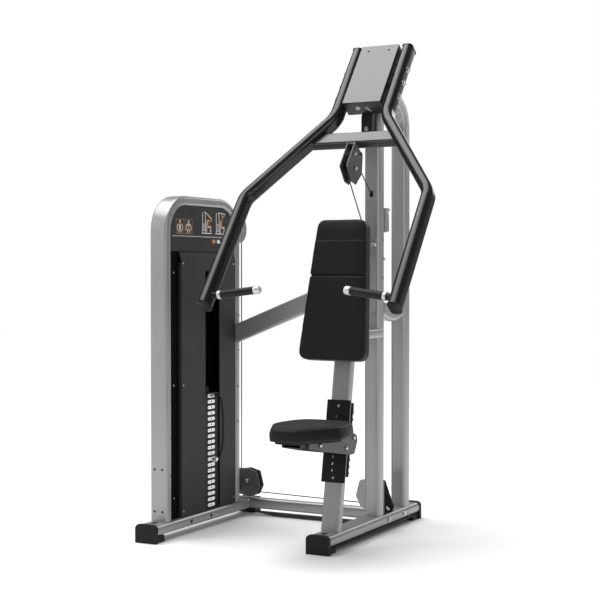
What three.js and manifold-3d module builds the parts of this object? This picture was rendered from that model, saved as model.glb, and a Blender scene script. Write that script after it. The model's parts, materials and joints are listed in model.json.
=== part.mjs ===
// Selectorised chest press machine: a weight tower on the left, a seat frame on the right, and one
// press arm that hinges at the top of the seat frame and pulls the weights through a steel cable.
// Millimetres, +Z up. The user sits facing -Y. The origin is on the floor, at the middle of the
// machine's outer box.

import * as THREE from "three";
import { mergeVertices } from "three/addons/utils/BufferGeometryUtils.js";
import Module from "manifold-3d";

const wasm = await Module();
wasm.setup();

// ---------------------------------------------------------------- driving dimensions

const GAP = 0.3; // left between pieces that touch
const WALL = 3; // wall of every steel tube
const RAD = Math.PI / 180;

// The design is laid out from the seat frame's mid plane (X = 0) and the front face of its front
// upright (Y = 0). SHIFT moves the origin to the middle of the whole machine.
const SHIFT = { x: 173.05, y: 180.5 };

// Base rails
const RAIL = { width: 98, bottom: 28, height: 46, corner: 17 };
const RAIL_TOP = RAIL.bottom + RAIL.height;
const SEAT_RAIL = { x: 0, front: -489, rear: 414 };
const TOWER_RAIL = { x: -733, front: -617, rear: 149.7 };
const FOOT = { cap: 20, width: 102, height: 78, pad: 58, padWidth: 88 };

// Twin uprights, bent from one tube
const UPRIGHT = { width: 71, depth: 62, corner: 15, span: 340, top: 1908, bend: 140 };

// Cross members between the two frames
const CROSS_TUBE = { y: 150, depth: 50, bottom: 28, height: 50, left: -783 };
const BRACE = { y: 26, depth: 40, height: 82, leftZ: 845, rightZ: 1104 };
const TIE_BAR = { y: 152, depth: 18, bottom: 2, height: 16, left: -682, taper: 120 };

// Leaning seat post. Its own frame: z along the post, y square to its front face, origin on it.
const POST = { lean: 10.2, y: -403.7, z: 67, width: 80, depth: 38, corner: 8, top: 1150 };
const PAD = { low: 691, high: 1274, near: 59, far: 118, halfLow: 153, halfHigh: 112, corner: 34 };
const SEAT_STEP = 27.5; // from one seat height to the next
const SEAT_POSITIONS = 9;
const NUMBER_PLATE = { half: 53, low: 206, high: 542, thick: 4 };
const RACK = { half: 44, low: 232, high: 535, base: 9, tooth: 7 };
const STAY = { low: 840, high: 880, cheek: 34 };

// Seat and its carriage
const SEAT = { top: 530, bottom: 477 };
// Half the seat's outline as [x, y] from nose to rear: at its widest, and round its top face.
const SEAT_WIDE = [
  [0, -795],
  [50, -794],
  [63, -785],
  [72, -768],
  [150, -634],
  [160, -606],
  [158, -556],
  [146, -490],
  [130, -440],
  [98, -402],
  [50, -391],
  [0, -389],
];
const SEAT_TOP = [
  [0, -793],
  [46, -792],
  [58, -783],
  [66, -766],
  [134, -624],
  [143, -602],
  [146, -556],
  [136, -485],
  [120, -440],
  [92, -409],
  [47, -398],
  [0, -396],
];
const CARRIAGE = { inner: 56, plate: 4, top: 468.5, clearance: 0.5 };
// Both run across between its side plates, at these heights in the post's frame.
const GUIDE_BAR = { radius: 9, z: 348 };
const LATCH_PIN = { radius: 6, z: 398.5 };
const TRAY = { half: 42, front: -724, rear: -600, bottom: 450, side: 4, sheet: 3, web: 10 };

// Press arm. Its own frame: origin on the pivot, z up along the arm, front face towards -y.
const ARM = { lean: 36.8, y: 10, z: 1921, width: 48, depth: 72, corner: 22 };
const ARM_LINE = { neckX: 118, top: 201, fork: -189, elbowX: 414, elbow: -612, endX: 413, end: -1160 };
const BOX = { half: 87, low: -136, high: 196, front: -43, rear: 32, sheet: 8 };
const CROSSBAR = { low: -329, high: -269, front: -7, rear: 38 };
const PIVOT = { shaft: 14, half: 146, housing: 28, housingHalf: 60 };
const HANDLE = { root: -1114, slope: 9, stub: 20, ring: 14, grip: 145, cap: 28, bar: 12.5, rubber: 16 };

// Cable and pulleys. A pulley's cable runs at its pitch radius.
const CABLE = 2.5;
const PULLEY = { pitch: 50, outer: 57, bottom: 46.4, half: 10 };
const SMALL_PULLEY = { pitch: 43, outer: 50, bottom: 39.4, half: 10 };
const AXLE = 8;
const EAR = { inner: 14, outer: 18 }; // a pulley bracket's ears, from the pulley's mid plane
const TOWER_DROP = { x: -733, y: 151 }; // the cable's run down behind the tower
const FRAME_RISE = { x: 0, y: 97 }; // and its run up behind the front upright
const LOW_PULLEY_Z = 160;
const TOP_PULLEY = { y: -119, z: 1320 };
const REAR_PULLEY = { y: TOWER_DROP.y - PULLEY.pitch, z: 1320 };
const HIGH_PULLEY = { y: FRAME_RISE.y - SMALL_PULLEY.pitch, z: 1354 };
const ARM_PULLEY = { y: 57, z: -416 }; // in the press arm's frame
const CABLE_EXIT = { y: 0, z: 1457 }; // through the front upright
const ANCHOR = { y: -30, z: 1240 };

// Weight tower
const TOWER = { x: -733, width: 85, depth: 40, corner: 12, front: -539, rear: 68, top: 1448, bend: 155 };
const SHROUD = { face: -694, sheet: 3, front: -420, low: 76, high: 1176, lip: 1212 };
const SLOT = { y0: -228, y1: -107, low: 80, high: 1128 };
const STACK_Y = -169;
const PLATE = { pitch: 25.4, width: 66, length: 350, groove: 1.6, grooveDepth: 3, bottom: 81 };
const PLATES = 20; // the head plate counts as the first
const SELECTED = 12; // the plate that the pin is in
const ROD = { offset: 125, radius: 10, top: 1234 };
const STEM = 12;
const PIN = { radius: 5, inner: -18, outer: 52, head: 13, headLow: 44, headHigh: 56, knob: 9, tip: 62 };
const TETHER = 5; // outer radius of the coiled cord

// ---------------------------------------------------------------- materials

function finish(color, roughness, metalness) {
  return new THREE.MeshStandardMaterial({ color, roughness, metalness });
}
const silver = finish(0xa9a9a9, 0.42, 0.35);
const blackPaint = finish(0x1b1b1c, 0.38, 0.2);
const charcoal = finish(0x3d3d3d, 0.55, 0.1);
const darkSteel = finish(0x4a4a4a, 0.5, 0.3);
const rubber = finish(0x141414, 0.85, 0);
const vinyl = finish(0x1e1e1f, 0.6, 0);
const nylon = finish(0x101010, 0.5, 0);
const chrome = finish(0xd8d8d8, 0.15, 1);
const castIron = finish(0x151516, 0.65, 0.3);
const cableCoat = finish(0x2a2a2a, 0.4, 0.2);

// ---------------------------------------------------------------- geometry helpers

// A closed geometry as a manifold-3d solid, with its faces pointing out.
function solid(geometry) {
  const plain = geometry.clone();
  plain.deleteAttribute("normal");
  plain.deleteAttribute("uv");
  const merged = mergeVertices(plain, 1e-3);
  const made = new wasm.Manifold(
    new wasm.Mesh({
      numProp: 3,
      vertProperties: merged.attributes.position.array,
      triVerts: new Uint32Array(merged.index.array),
    }),
  );
  return made;
}

function geometryOf(body) {
  const mesh = body.getMesh();
  const geometry = new THREE.BufferGeometry();
  geometry.setAttribute("position", new THREE.BufferAttribute(mesh.vertProperties, 3));
  geometry.setIndex(new THREE.BufferAttribute(mesh.triVerts, 1));
  geometry.computeVertexNormals();
  return geometry;
}

function join(first, ...rest) {
  return geometryOf(rest.reduce((sum, g) => sum.add(solid(g)), solid(first)));
}

function cut(first, ...rest) {
  return geometryOf(rest.reduce((sum, g) => sum.subtract(solid(g)), solid(first)));
}

function keepInside(geometry, region) {
  return geometryOf(solid(geometry).intersect(solid(region)));
}

// A box from its low corner to its high corner.
function box(x0, x1, y0, y1, z0, z1) {
  const geometry = new THREE.BoxGeometry(x1 - x0, y1 - y0, z1 - z0);
  return geometry.translate((x0 + x1) / 2, (y0 + y1) / 2, (z0 + z1) / 2);
}

// A cylinder along an axis, from a to b on that axis, centred on the two other coordinates.
function rod(axis, radius, a, b, p, q, sides = 20) {
  const geometry = new THREE.CylinderGeometry(radius, radius, b - a, sides);
  const middle = (a + b) / 2;
  if (axis === "x") return geometry.rotateZ(Math.PI / 2).translate(middle, p, q);
  if (axis === "y") return geometry.translate(p, middle, q);
  return geometry.rotateX(Math.PI / 2).translate(p, q, middle);
}

function outline(points) {
  const shape = new THREE.Shape();
  points.forEach(([x, y], i) => (i ? shape.lineTo(x, y) : shape.moveTo(x, y)));
  shape.closePath();
  return shape;
}

function roundedRect(width, height, corner, holes = []) {
  const w = width / 2;
  const h = height / 2;
  const shape = new THREE.Shape();
  shape.moveTo(w, -h + corner);
  shape.absarc(w - corner, h - corner, corner, 0, Math.PI / 2);
  shape.absarc(-w + corner, h - corner, corner, Math.PI / 2, Math.PI);
  shape.absarc(-w + corner, -h + corner, corner, Math.PI, Math.PI * 1.5);
  shape.absarc(w - corner, -h + corner, corner, Math.PI * 1.5, Math.PI * 2);
  shape.holes.push(...holes);
  return shape;
}

// The section of a steel tube with rounded corners. The bore's corners are plain chamfers.
function tubeSection(width, height, corner) {
  const w = width / 2 - WALL;
  const h = height / 2 - WALL;
  const c = Math.max(corner * 0.52 - 1.1, 1);
  const bore = outline([
    [w, -h + c],
    [w, h - c],
    [w - c, h],
    [-w + c, h],
    [-w, h - c],
    [-w, -h + c],
    [-w + c, -h],
    [w - c, -h],
  ]);
  return roundedRect(width, height, corner, [bore]);
}

const CURVE_SEGMENTS = 2;

// Flat outlines drawn in YZ, XZ or XY, given a thickness along the third axis.
function alongX(shape, x0, x1, curveSegments = CURVE_SEGMENTS) {
  const geometry = new THREE.ExtrudeGeometry(shape, { depth: x1 - x0, bevelEnabled: false, curveSegments });
  const turn = new THREE.Matrix4().makeBasis(
    new THREE.Vector3(0, 1, 0),
    new THREE.Vector3(0, 0, 1),
    new THREE.Vector3(1, 0, 0),
  );
  return geometry.applyMatrix4(turn).translate(x0, 0, 0);
}

function alongY(shape, y0, y1, curveSegments = CURVE_SEGMENTS) {
  const geometry = new THREE.ExtrudeGeometry(shape, { depth: y1 - y0, bevelEnabled: false, curveSegments });
  return geometry.rotateX(Math.PI / 2).translate(0, y1, 0);
}

function alongZ(shape, z0, z1, curveSegments = CURVE_SEGMENTS) {
  const geometry = new THREE.ExtrudeGeometry(shape, { depth: z1 - z0, bevelEnabled: false, curveSegments });
  return geometry.translate(0, 0, z0);
}

// A path of straight runs and round bends, with stations only where a bend needs them.
class BentPath extends THREE.Curve {
  constructor(corners, radius, arcSteps = 6) {
    super();
    this.stations = [];
    corners.forEach((corner, i) => {
      const before = corners[i - 1];
      const after = corners[i + 1];
      if (!before || !after) {
        const tangent = before ? corner.clone().sub(before) : after.clone().sub(corner);
        this.stations.push({ point: corner, tangent: tangent.normalize() });
        return;
      }
      const arriving = corner.clone().sub(before).normalize();
      const leaving = after.clone().sub(corner).normalize();
      const turn = arriving.angleTo(leaving);
      const bend = Array.isArray(radius) ? radius[i - 1] : radius;
      const start = corner.clone().addScaledVector(arriving, -bend * Math.tan(turn / 2));
      const side = leaving.clone().addScaledVector(arriving, -Math.cos(turn)).normalize();
      for (let k = 0; k <= arcSteps; k += 1) {
        const a = (turn * k) / arcSteps;
        const point = start.clone().addScaledVector(arriving, bend * Math.sin(a));
        point.addScaledVector(side, bend * (1 - Math.cos(a)));
        const tangent = arriving.clone().multiplyScalar(Math.cos(a)).addScaledVector(side, Math.sin(a));
        this.stations.push({ point, tangent });
      }
    });
    this.steps = this.stations.length - 1;
  }

  station(u) {
    return this.stations[Math.round(u * this.steps)];
  }

  getPointAt(u, target = new THREE.Vector3()) {
    return target.copy(this.station(u).point);
  }

  getTangentAt(u, target = new THREE.Vector3()) {
    return target.copy(this.station(u).tangent);
  }
}

function sweep(shape, path) {
  const options = { steps: path.steps, extrudePath: path, bevelEnabled: false, curveSegments: CURVE_SEGMENTS };
  return new THREE.ExtrudeGeometry(shape, options);
}

function cordSection(radius, sides = 8) {
  const points = [];
  for (let i = 0; i < sides; i += 1) {
    const a = ((i + 0.5) / sides) * Math.PI * 2;
    points.push([radius * Math.cos(a), radius * Math.sin(a)]);
  }
  return outline(points);
}

function v(x, y, z) {
  return new THREE.Vector3(x, y, z);
}

// A pulley with a hub bore, about +Y.
function pulleyGeometry(size) {
  const edge = size.half - 2.5;
  const profile = [
    [AXLE + GAP, -size.half],
    [size.outer, -size.half],
    [size.outer, -edge],
    [size.bottom, -CABLE - 0.7],
    [size.bottom, CABLE + 0.7],
    [size.outer, edge],
    [size.outer, size.half],
    [AXLE + GAP, size.half],
    [AXLE + GAP, -size.half],
  ];
  return new THREE.LatheGeometry(profile.map(([r, y]) => new THREE.Vector2(r, y)), 20);
}

// ---------------------------------------------------------------- scene graph

const machine = new THREE.Group();
machine.position.set(SHIFT.x, SHIFT.y, 0);

const post = new THREE.Group();
post.position.set(0, POST.y, POST.z);
post.rotation.x = -POST.lean * RAD;

const arm = new THREE.Group();
arm.position.set(0, ARM.y, ARM.z);
arm.rotation.x = -ARM.lean * RAD;
machine.add(post, arm);

function place(name, geometry, material, parent = machine) {
  const mesh = new THREE.Mesh(geometry, material);
  mesh.name = name;
  parent.add(mesh);
  return mesh;
}

// A point given in the post's or the press arm's frame, in the machine's layout.
function fromGroup(group, x, y, z) {
  group.updateMatrix();
  return v(x, y, z).applyMatrix4(group.matrix);
}

function intoGroup(group, x, y, z) {
  group.updateMatrix();
  return v(x, y, z).applyMatrix4(group.matrix.clone().invert());
}

// ---------------------------------------------------------------- base rails and feet

function railSection(x) {
  const z = RAIL.bottom + RAIL.height / 2;
  return (y0, y1) => alongY(tubeSection(RAIL.width, RAIL.height, RAIL.corner), y0, y1).translate(x, 0, z);
}

// A rubber end cap with the foot pad that carries the rail. Its face is at `end`.
function footGeometry(x, end, towards) {
  const half = FOOT.width / 2;
  const round = 20;
  const face = new THREE.Shape();
  face.moveTo(x - half, 0);
  face.lineTo(x + half, 0);
  face.absarc(x + half - round, FOOT.height - round, round, 0, Math.PI / 2);
  face.absarc(x - half + round, FOOT.height - round, round, Math.PI / 2, Math.PI);
  const inside = end + towards * (FOOT.cap - GAP);
  const cap = alongY(face, Math.min(end, inside), Math.max(end, inside), 5);
  const back = inside + towards * FOOT.pad;
  const pad = box(
    x - FOOT.padWidth / 2,
    x + FOOT.padWidth / 2,
    Math.min(inside - towards, back),
    Math.max(inside - towards, back),
    0,
    RAIL.bottom - GAP,
  );
  return join(cap, pad);
}

place("seat_frame_rail", railSection(SEAT_RAIL.x)(SEAT_RAIL.front, SEAT_RAIL.rear), silver);
place("tower_rail", railSection(TOWER_RAIL.x)(TOWER_RAIL.front, TOWER_RAIL.rear), silver);
place("seat_frame_front_foot", footGeometry(SEAT_RAIL.x, SEAT_RAIL.front - FOOT.cap, 1), rubber);
place("seat_frame_rear_foot", footGeometry(SEAT_RAIL.x, SEAT_RAIL.rear + FOOT.cap, -1), rubber);
place("tower_front_foot", footGeometry(TOWER_RAIL.x, TOWER_RAIL.front - FOOT.cap, 1), rubber);

// The rear foot stands behind the end of the cross tube.
const crossRear = CROSS_TUBE.y + CROSS_TUBE.depth;
place("tower_rear_foot", box(-777, -689, crossRear + GAP, crossRear + 52, 0, 70), rubber);

// ---------------------------------------------------------------- cross members

const crossRight = -RAIL.width / 2 - GAP;
place(
  "cross_tube",
  alongX(
    tubeSection(CROSS_TUBE.depth, CROSS_TUBE.height, 16),
    CROSS_TUBE.left,
    crossRight,
  ).translate(0, CROSS_TUBE.y + CROSS_TUBE.depth / 2, CROSS_TUBE.bottom + CROSS_TUBE.height / 2),
  silver,
);

place(
  "floor_tie_bar",
  alongY(
    outline([
      [TIE_BAR.left, TIE_BAR.bottom + TIE_BAR.height - 2],
      [TIE_BAR.left + TIE_BAR.taper, TIE_BAR.bottom],
      [crossRight, TIE_BAR.bottom],
      [crossRight, TIE_BAR.bottom + TIE_BAR.height],
      [TIE_BAR.left, TIE_BAR.bottom + TIE_BAR.height],
    ]),
    TIE_BAR.y,
    TIE_BAR.y + TIE_BAR.depth,
  ),
  blackPaint,
);

const braceLeft = TOWER.x + TOWER.width / 2 + GAP;
const braceRight = -UPRIGHT.width / 2 - GAP;
function braceGeometry() {
  const run = braceRight - braceLeft;
  const rise = BRACE.rightZ - BRACE.leftZ;
  const spare = 60;
  const length = Math.hypot(run, rise) + 2 * spare;
  const tube = alongX(tubeSection(BRACE.depth, BRACE.height, 12), -spare, length - spare);
  tube.rotateY(-Math.atan2(rise, run));
  tube.translate(braceLeft, BRACE.y + BRACE.depth / 2, BRACE.leftZ);
  return keepInside(tube, box(braceLeft, braceRight, -200, 300, 500, 1500));
}
place("rising_brace", braceGeometry(), silver);

// ---------------------------------------------------------------- twin uprights

function bentArch(x, y0, y1, bottom, top, width, depth, corner, bend) {
  const inset = depth / 2;
  const path = new BentPath(
    [v(x, y0 + inset, bottom), v(x, y0 + inset, top - inset), v(x, y1 - inset, top - inset), v(x, y1 - inset, bottom)],
    bend - inset,
    7,
  );
  return sweep(tubeSection(depth, width, corner), path);
}

const uprightSlot = alongY(roundedRect(14, 30, 6), -5, 12).translate(0, 0, CABLE_EXIT.z);
const uprightRearSlot = box(-24, 24, UPRIGHT.depth - 10, UPRIGHT.depth + 5, 1292, 1416);
place(
  "uprights",
  cut(
    bentArch(0, 0, UPRIGHT.span, RAIL_TOP + GAP, UPRIGHT.top, UPRIGHT.width, UPRIGHT.depth, UPRIGHT.corner, UPRIGHT.bend),
    uprightSlot,
    uprightRearSlot,
  ),
  silver,
);

// The short sagging tube that ties the two uprights together. The cable runs up through it.
function linkGeometry() {
  const y0 = UPRIGHT.depth + GAP;
  const y1 = UPRIGHT.span - UPRIGHT.depth - GAP;
  const path = new BentPath([v(0, y0, 967), v(0, 176, 930), v(0, y1, 962)], 200, 6);
  const ends = box(-50, 50, y0, y1, 800, 1100);
  path.stations[0].tangent.set(0, 1, 0);
  path.stations[path.steps].tangent.set(0, 1, 0);
  const tube = sweep(tubeSection(68, 66, 16), path);
  return cut(keepInside(tube, ends), rod("z", 9, 800, 1100, FRAME_RISE.x, FRAME_RISE.y, 14));
}
place("upright_link", linkGeometry(), silver);

place(
  "upright_foot_gusset",
  alongX(
    outline([
      [UPRIGHT.depth + GAP, RAIL_TOP + GAP],
      [150, RAIL_TOP + GAP],
      [166, 92],
      [UPRIGHT.depth + 12, 222],
      [UPRIGHT.depth + GAP, 222],
    ]),
    24,
    34,
  ),
  blackPaint,
);

// ---------------------------------------------------------------- seat post

const floorCut = box(-100, 100, -700, 0, -100, RAIL_TOP + GAP);
function intoPost(geometry) {
  post.updateMatrix();
  return geometry.applyMatrix4(post.matrix.clone().invert());
}

place(
  "seat_post",
  cut(
    alongZ(tubeSection(POST.width, POST.depth, POST.corner), -20, POST.top).translate(0, POST.depth / 2, 0),
    intoPost(floorCut),
  ),
  silver,
  post,
);

place(
  "number_plate",
  alongZ(roundedRect(2 * NUMBER_PLATE.half, NUMBER_PLATE.thick, 1.2), NUMBER_PLATE.low, NUMBER_PLATE.high, 2).translate(
    0,
    -GAP - NUMBER_PLATE.thick / 2,
    0,
  ),
  blackPaint,
  post,
);

// The toothed rack behind the post, one notch for each seat height.
const rackFace = POST.depth + GAP;
function rackGeometry() {
  const points = [
    [rackFace, RACK.low],
    [rackFace + RACK.base, RACK.low],
  ];
  const first = 398.5 - 5 * SEAT_STEP; // the lowest notch
  for (let i = 0; i < SEAT_POSITIONS; i += 1) {
    const z = first + i * SEAT_STEP;
    points.push([rackFace + RACK.base + RACK.tooth, z - 9], [rackFace + RACK.base, z - 6]);
    points.push([rackFace + RACK.base, z + 6], [rackFace + RACK.base + RACK.tooth, z + 10]);
  }
  points.push([rackFace + RACK.base, RACK.high], [rackFace, RACK.high]);
  return alongX(outline(points), -RACK.half, RACK.half);
}
place("latch_rack", rackGeometry(), blackPaint, post);

// The oval tube that holds the post off the front upright. Its end is coped round the upright.
function stayGeometry() {
  const height = STAY.high - STAY.low;
  const tube = alongY(tubeSection(POST.width, height, 12), -260, STAY.cheek);
  tube.translate(0, 0, (STAY.high + STAY.low) / 2);
  post.updateMatrix();
  const size = 2 * POST.width;
  const postBody = box(-size, size, -100, POST.depth + GAP, -50, POST.top + 50).applyMatrix4(post.matrix);
  const uprightBody = alongZ(
    roundedRect(UPRIGHT.width + 2 * GAP, UPRIGHT.depth + 2 * GAP, UPRIGHT.corner + GAP),
    STAY.low - 10,
    STAY.high + 10,
  ).translate(0, UPRIGHT.depth / 2, 0);
  return cut(tube, postBody, uprightBody);
}
place("post_stay", stayGeometry(), silver);

// ---------------------------------------------------------------- back pad

function padOutline(grow = 0) {
  const low = PAD.low - grow;
  const high = PAD.high + grow;
  const a = PAD.halfLow + grow;
  const b = PAD.halfHigh + grow;
  const r = PAD.corner;
  const shape = new THREE.Shape();
  shape.moveTo(-a + r, low);
  shape.lineTo(a - r, low);
  shape.quadraticCurveTo(a, low, a - 3, low + r);
  shape.lineTo(b, high - r);
  shape.quadraticCurveTo(b, high, b - r, high);
  shape.lineTo(-b + r, high);
  shape.quadraticCurveTo(-b, high, -b, high - r);
  shape.lineTo(-a + 3, low + r);
  shape.quadraticCurveTo(-a, low, -a + r, low);
  return shape;
}
place("back_pad", alongY(padOutline(), -PAD.far, -PAD.near - GAP, 5), vinyl, post);

place(
  "pad_bracket",
  join(
    alongY(roundedRect(150, 420, 12), -PAD.near, -PAD.near + 6).translate(0, 0, 970),
    box(-24, 24, -PAD.near + 5, -GAP, 790, 830),
    box(-24, 24, -PAD.near + 5, -GAP, 1090, 1130),
  ),
  blackPaint,
  post,
);

// ---------------------------------------------------------------- seat

// A body between stacked rings of [x, y] points, each ring at its own height.
function loft(rings, heights) {
  const count = rings[0].length;
  const positions = [];
  rings.forEach((ring, k) => ring.forEach(([x, y]) => positions.push(x, y, heights[k])));
  const faces = [];
  for (let k = 0; k + 1 < rings.length; k += 1) {
    for (let i = 0; i < count; i += 1) {
      const a = k * count + i;
      const b = k * count + ((i + 1) % count);
      faces.push(a, b, b + count, a, b + count, a + count);
    }
  }
  const flat = (ring) => ring.map(([x, y]) => new THREE.Vector2(x, y));
  const last = (rings.length - 1) * count;
  THREE.ShapeUtils.triangulateShape(flat(rings[0]), []).forEach(([a, b, c]) => faces.push(c, b, a));
  THREE.ShapeUtils.triangulateShape(flat(rings[rings.length - 1]), []).forEach(([a, b, c]) =>
    faces.push(last + a, last + b, last + c),
  );
  const geometry = new THREE.BufferGeometry();
  geometry.setAttribute("position", new THREE.BufferAttribute(new Float32Array(positions), 3));
  geometry.setIndex(faces);
  geometry.computeVertexNormals();
  return geometry;
}

function wholeOutline(half, inset = 0) {
  const middle = -590;
  const moved = half.map(([x, y]) => [Math.max(x - inset, 0), y + (y < middle ? inset : -inset)]);
  const other = moved.slice(1, -1).map(([x, y]) => [-x, y]);
  return [...moved, ...other.reverse()];
}
const between = (a, b, t) => a.map(([x, y], i) => [x + (b[i][0] - x) * t, y + (b[i][1] - y) * t]);
const seatWide = wholeOutline(SEAT_WIDE);
const seatTop = wholeOutline(SEAT_TOP);
place(
  "seat_pad",
  loft(
    [wholeOutline(SEAT_WIDE, 5), seatWide, between(seatWide, seatTop, 0.7), seatTop],
    [SEAT.bottom, SEAT.bottom + 9, SEAT.top - 10, SEAT.top],
  ),
  vinyl,
);
place(
  "seat_board",
  alongZ(outline(wholeOutline(SEAT_WIDE, 16)), CARRIAGE.top + GAP, SEAT.bottom - GAP),
  nylon,
);

// Two side plates round the post, a beam under the seat, a guide in front of the post and a latch
// pin behind it.
function carriageGeometry() {
  const side = outline([
    [-689, 468.5],
    [-689, 445],
    [-556, 419],
    [-323, 381],
    [-291, 382],
    [-262, 430],
    [-268, 455],
    [-300, 468.5],
  ]);
  const outer = CARRIAGE.inner + CARRIAGE.plate;
  const guideY = -GAP - NUMBER_PLATE.thick - CARRIAGE.clearance - GUIDE_BAR.radius;
  const latchY = rackFace + RACK.base + RACK.tooth + CARRIAGE.clearance + LATCH_PIN.radius;
  const guide = fromGroup(post, 0, guideY, GUIDE_BAR.z);
  const latch = fromGroup(post, 0, latchY, LATCH_PIN.z);
  const reach = CARRIAGE.inner + 1; // a bar's ends go this far, into the side plates
  const hollow = TRAY.half - TRAY.side;
  const hollowRear = TRAY.rear - TRAY.web;
  const tray = cut(
    box(-TRAY.half, TRAY.half, TRAY.front, TRAY.rear, TRAY.bottom, CARRIAGE.top),
    box(-hollow, hollow, TRAY.front - 5, hollowRear, TRAY.bottom + TRAY.sheet, CARRIAGE.top - TRAY.sheet),
  );
  return join(
    alongX(side, CARRIAGE.inner, outer),
    alongX(side, -outer, -CARRIAGE.inner),
    tray,
    box(-reach, reach, -660, TRAY.rear, TRAY.bottom, TRAY.bottom + CARRIAGE.plate),
    rod("x", GUIDE_BAR.radius, -reach, reach, guide.y, guide.z, 14),
    rod("x", LATCH_PIN.radius, -reach, reach, latch.y, latch.z, 12),
  );
}
place("seat_carriage", carriageGeometry(), darkSteel);

// ---------------------------------------------------------------- press arm

function armPath(side) {
  const line = ARM_LINE;
  return new BentPath(
    [
      v(side * line.neckX, 0, line.top),
      v(side * line.neckX, 0, line.fork),
      v(side * line.elbowX, 0, line.elbow),
      v(side * line.endX, 0, line.end),
    ],
    [120, 95],
    6,
  );
}

function armSide(side) {
  const line = ARM_LINE;
  const tube = sweep(tubeSection(ARM.depth, ARM.width, ARM.corner), armPath(side));
  return cut(tube, rod("x", PIVOT.shaft + GAP, side * line.neckX - 40, side * line.neckX + 40, 0, 0));
}
place("press_arm_left", armSide(-1), blackPaint, arm);
place("press_arm_right", armSide(1), blackPaint, arm);

// The bar between the arms, with its ends shaped to their round corners.
function crossbarGeometry() {
  const mid = (CROSSBAR.low + CROSSBAR.high) / 2;
  const depth = CROSSBAR.rear - CROSSBAR.front;
  const height = CROSSBAR.high - CROSSBAR.low;
  const tube = alongX(tubeSection(depth, height, 9), -220, 220);
  tube.translate(0, (CROSSBAR.front + CROSSBAR.rear) / 2, mid);
  const slope = (ARM_LINE.elbowX - ARM_LINE.neckX) / (ARM_LINE.fork - ARM_LINE.elbow);
  const centreX = (z) => ARM_LINE.neckX + slope * (ARM_LINE.fork - z) - 6;
  const reach = outline([
    [-centreX(CROSSBAR.low - 1), CROSSBAR.low - 1],
    [centreX(CROSSBAR.low - 1), CROSSBAR.low - 1],
    [centreX(CROSSBAR.high + 1), CROSSBAR.high + 1],
    [-centreX(CROSSBAR.high + 1), CROSSBAR.high + 1],
  ]);
  const grown = roundedRect(ARM.depth + 2 * GAP, ARM.width + 2 * GAP, ARM.corner + GAP);
  const arms = [-1, 1].map((side) => sweep(grown, armPath(side)));
  return cut(keepInside(tube, alongY(reach, CROSSBAR.front - 5, CROSSBAR.rear + 5)), ...arms);
}
place("arm_crossbar", crossbarGeometry(), blackPaint, arm);

// An open-backed box between the necks, which balances the arm and carries the pivot shaft.
function counterweightGeometry() {
  const t = BOX.sheet;
  const outer = box(-BOX.half, BOX.half, BOX.front, BOX.rear, BOX.low, BOX.high);
  const inner = box(-BOX.half + t, BOX.half - t, BOX.front + t, BOX.rear + 10, BOX.low + t, BOX.high - t);
  const bore = rod("x", PIVOT.shaft + GAP, -BOX.half - 5, BOX.half + 5, 0, 0);
  const holes = [-1, 1].map((side) => rod("y", 5, BOX.front - 5, BOX.front + t + 5, side * 48, 165, 12));
  return cut(outer, inner, bore, ...holes);
}
place("counterweight_box", counterweightGeometry(), blackPaint, arm);
place("pivot_shaft", rod("x", PIVOT.shaft, -PIVOT.half, PIVOT.half, 0, 0), chrome, arm);

// The bearing housing on the uprights, with its saddle.
function housingGeometry() {
  const bendY = UPRIGHT.bend;
  const bendZ = UPRIGHT.top - UPRIGHT.bend;
  const reach = Math.hypot(bendY - ARM.y, bendZ - ARM.z);
  const saddle = box(-30, 30, 0, reach - UPRIGHT.bend + 40, -34, 34);
  saddle.rotateX(Math.atan2(bendZ - ARM.z, bendY - ARM.y)).translate(0, ARM.y, ARM.z);
  const body = join(rod("x", PIVOT.housing, -PIVOT.housingHalf, PIVOT.housingHalf, ARM.y, ARM.z, 24), saddle);
  return cut(
    body,
    rod("x", UPRIGHT.bend + GAP, -80, 80, bendY, bendZ, 96),
    rod("x", PIVOT.shaft + GAP, -80, 80, ARM.y, ARM.z),
  );
}
place("pivot_housing", housingGeometry(), blackPaint);

// The bracket on the front upright that the arm rests against.
function stopGeometry() {
  const upper = fromGroup(arm, 0, BOX.rear + 0.5, BOX.low + 16);
  const lower = fromGroup(arm, 0, BOX.rear + 0.5, BOX.low - 10);
  const shape = outline([
    [upper.y, upper.z],
    [lower.y, lower.z],
    [lower.y, 1696],
    [-GAP, 1686],
    [-GAP, 1766],
  ]);
  return alongX(shape, -24, 24);
}
place("arm_rest_stop", stopGeometry(), blackPaint);

// A handle's bar with its collars, and the rubber grip between them. It points along +X.
function handleFrame(side) {
  const frame = new THREE.Group();
  const root = ARM_LINE.endX - ARM.width / 2 - 1;
  frame.position.set(side * root, 0, HANDLE.root);
  frame.rotation.y = side > 0 ? Math.PI + HANDLE.slope * RAD : -HANDLE.slope * RAD;
  arm.add(frame);
  return frame;
}
const ringStart = HANDLE.stub;
const gripStart = ringStart + HANDLE.ring;
const gripEnd = gripStart + HANDLE.grip;
const barEnd = gripEnd + HANDLE.cap;
function turned(profile, sides = 20) {
  const geometry = new THREE.LatheGeometry(profile.map(([r, y]) => new THREE.Vector2(r, y)), sides);
  return geometry.rotateZ(-Math.PI / 2);
}
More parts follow.
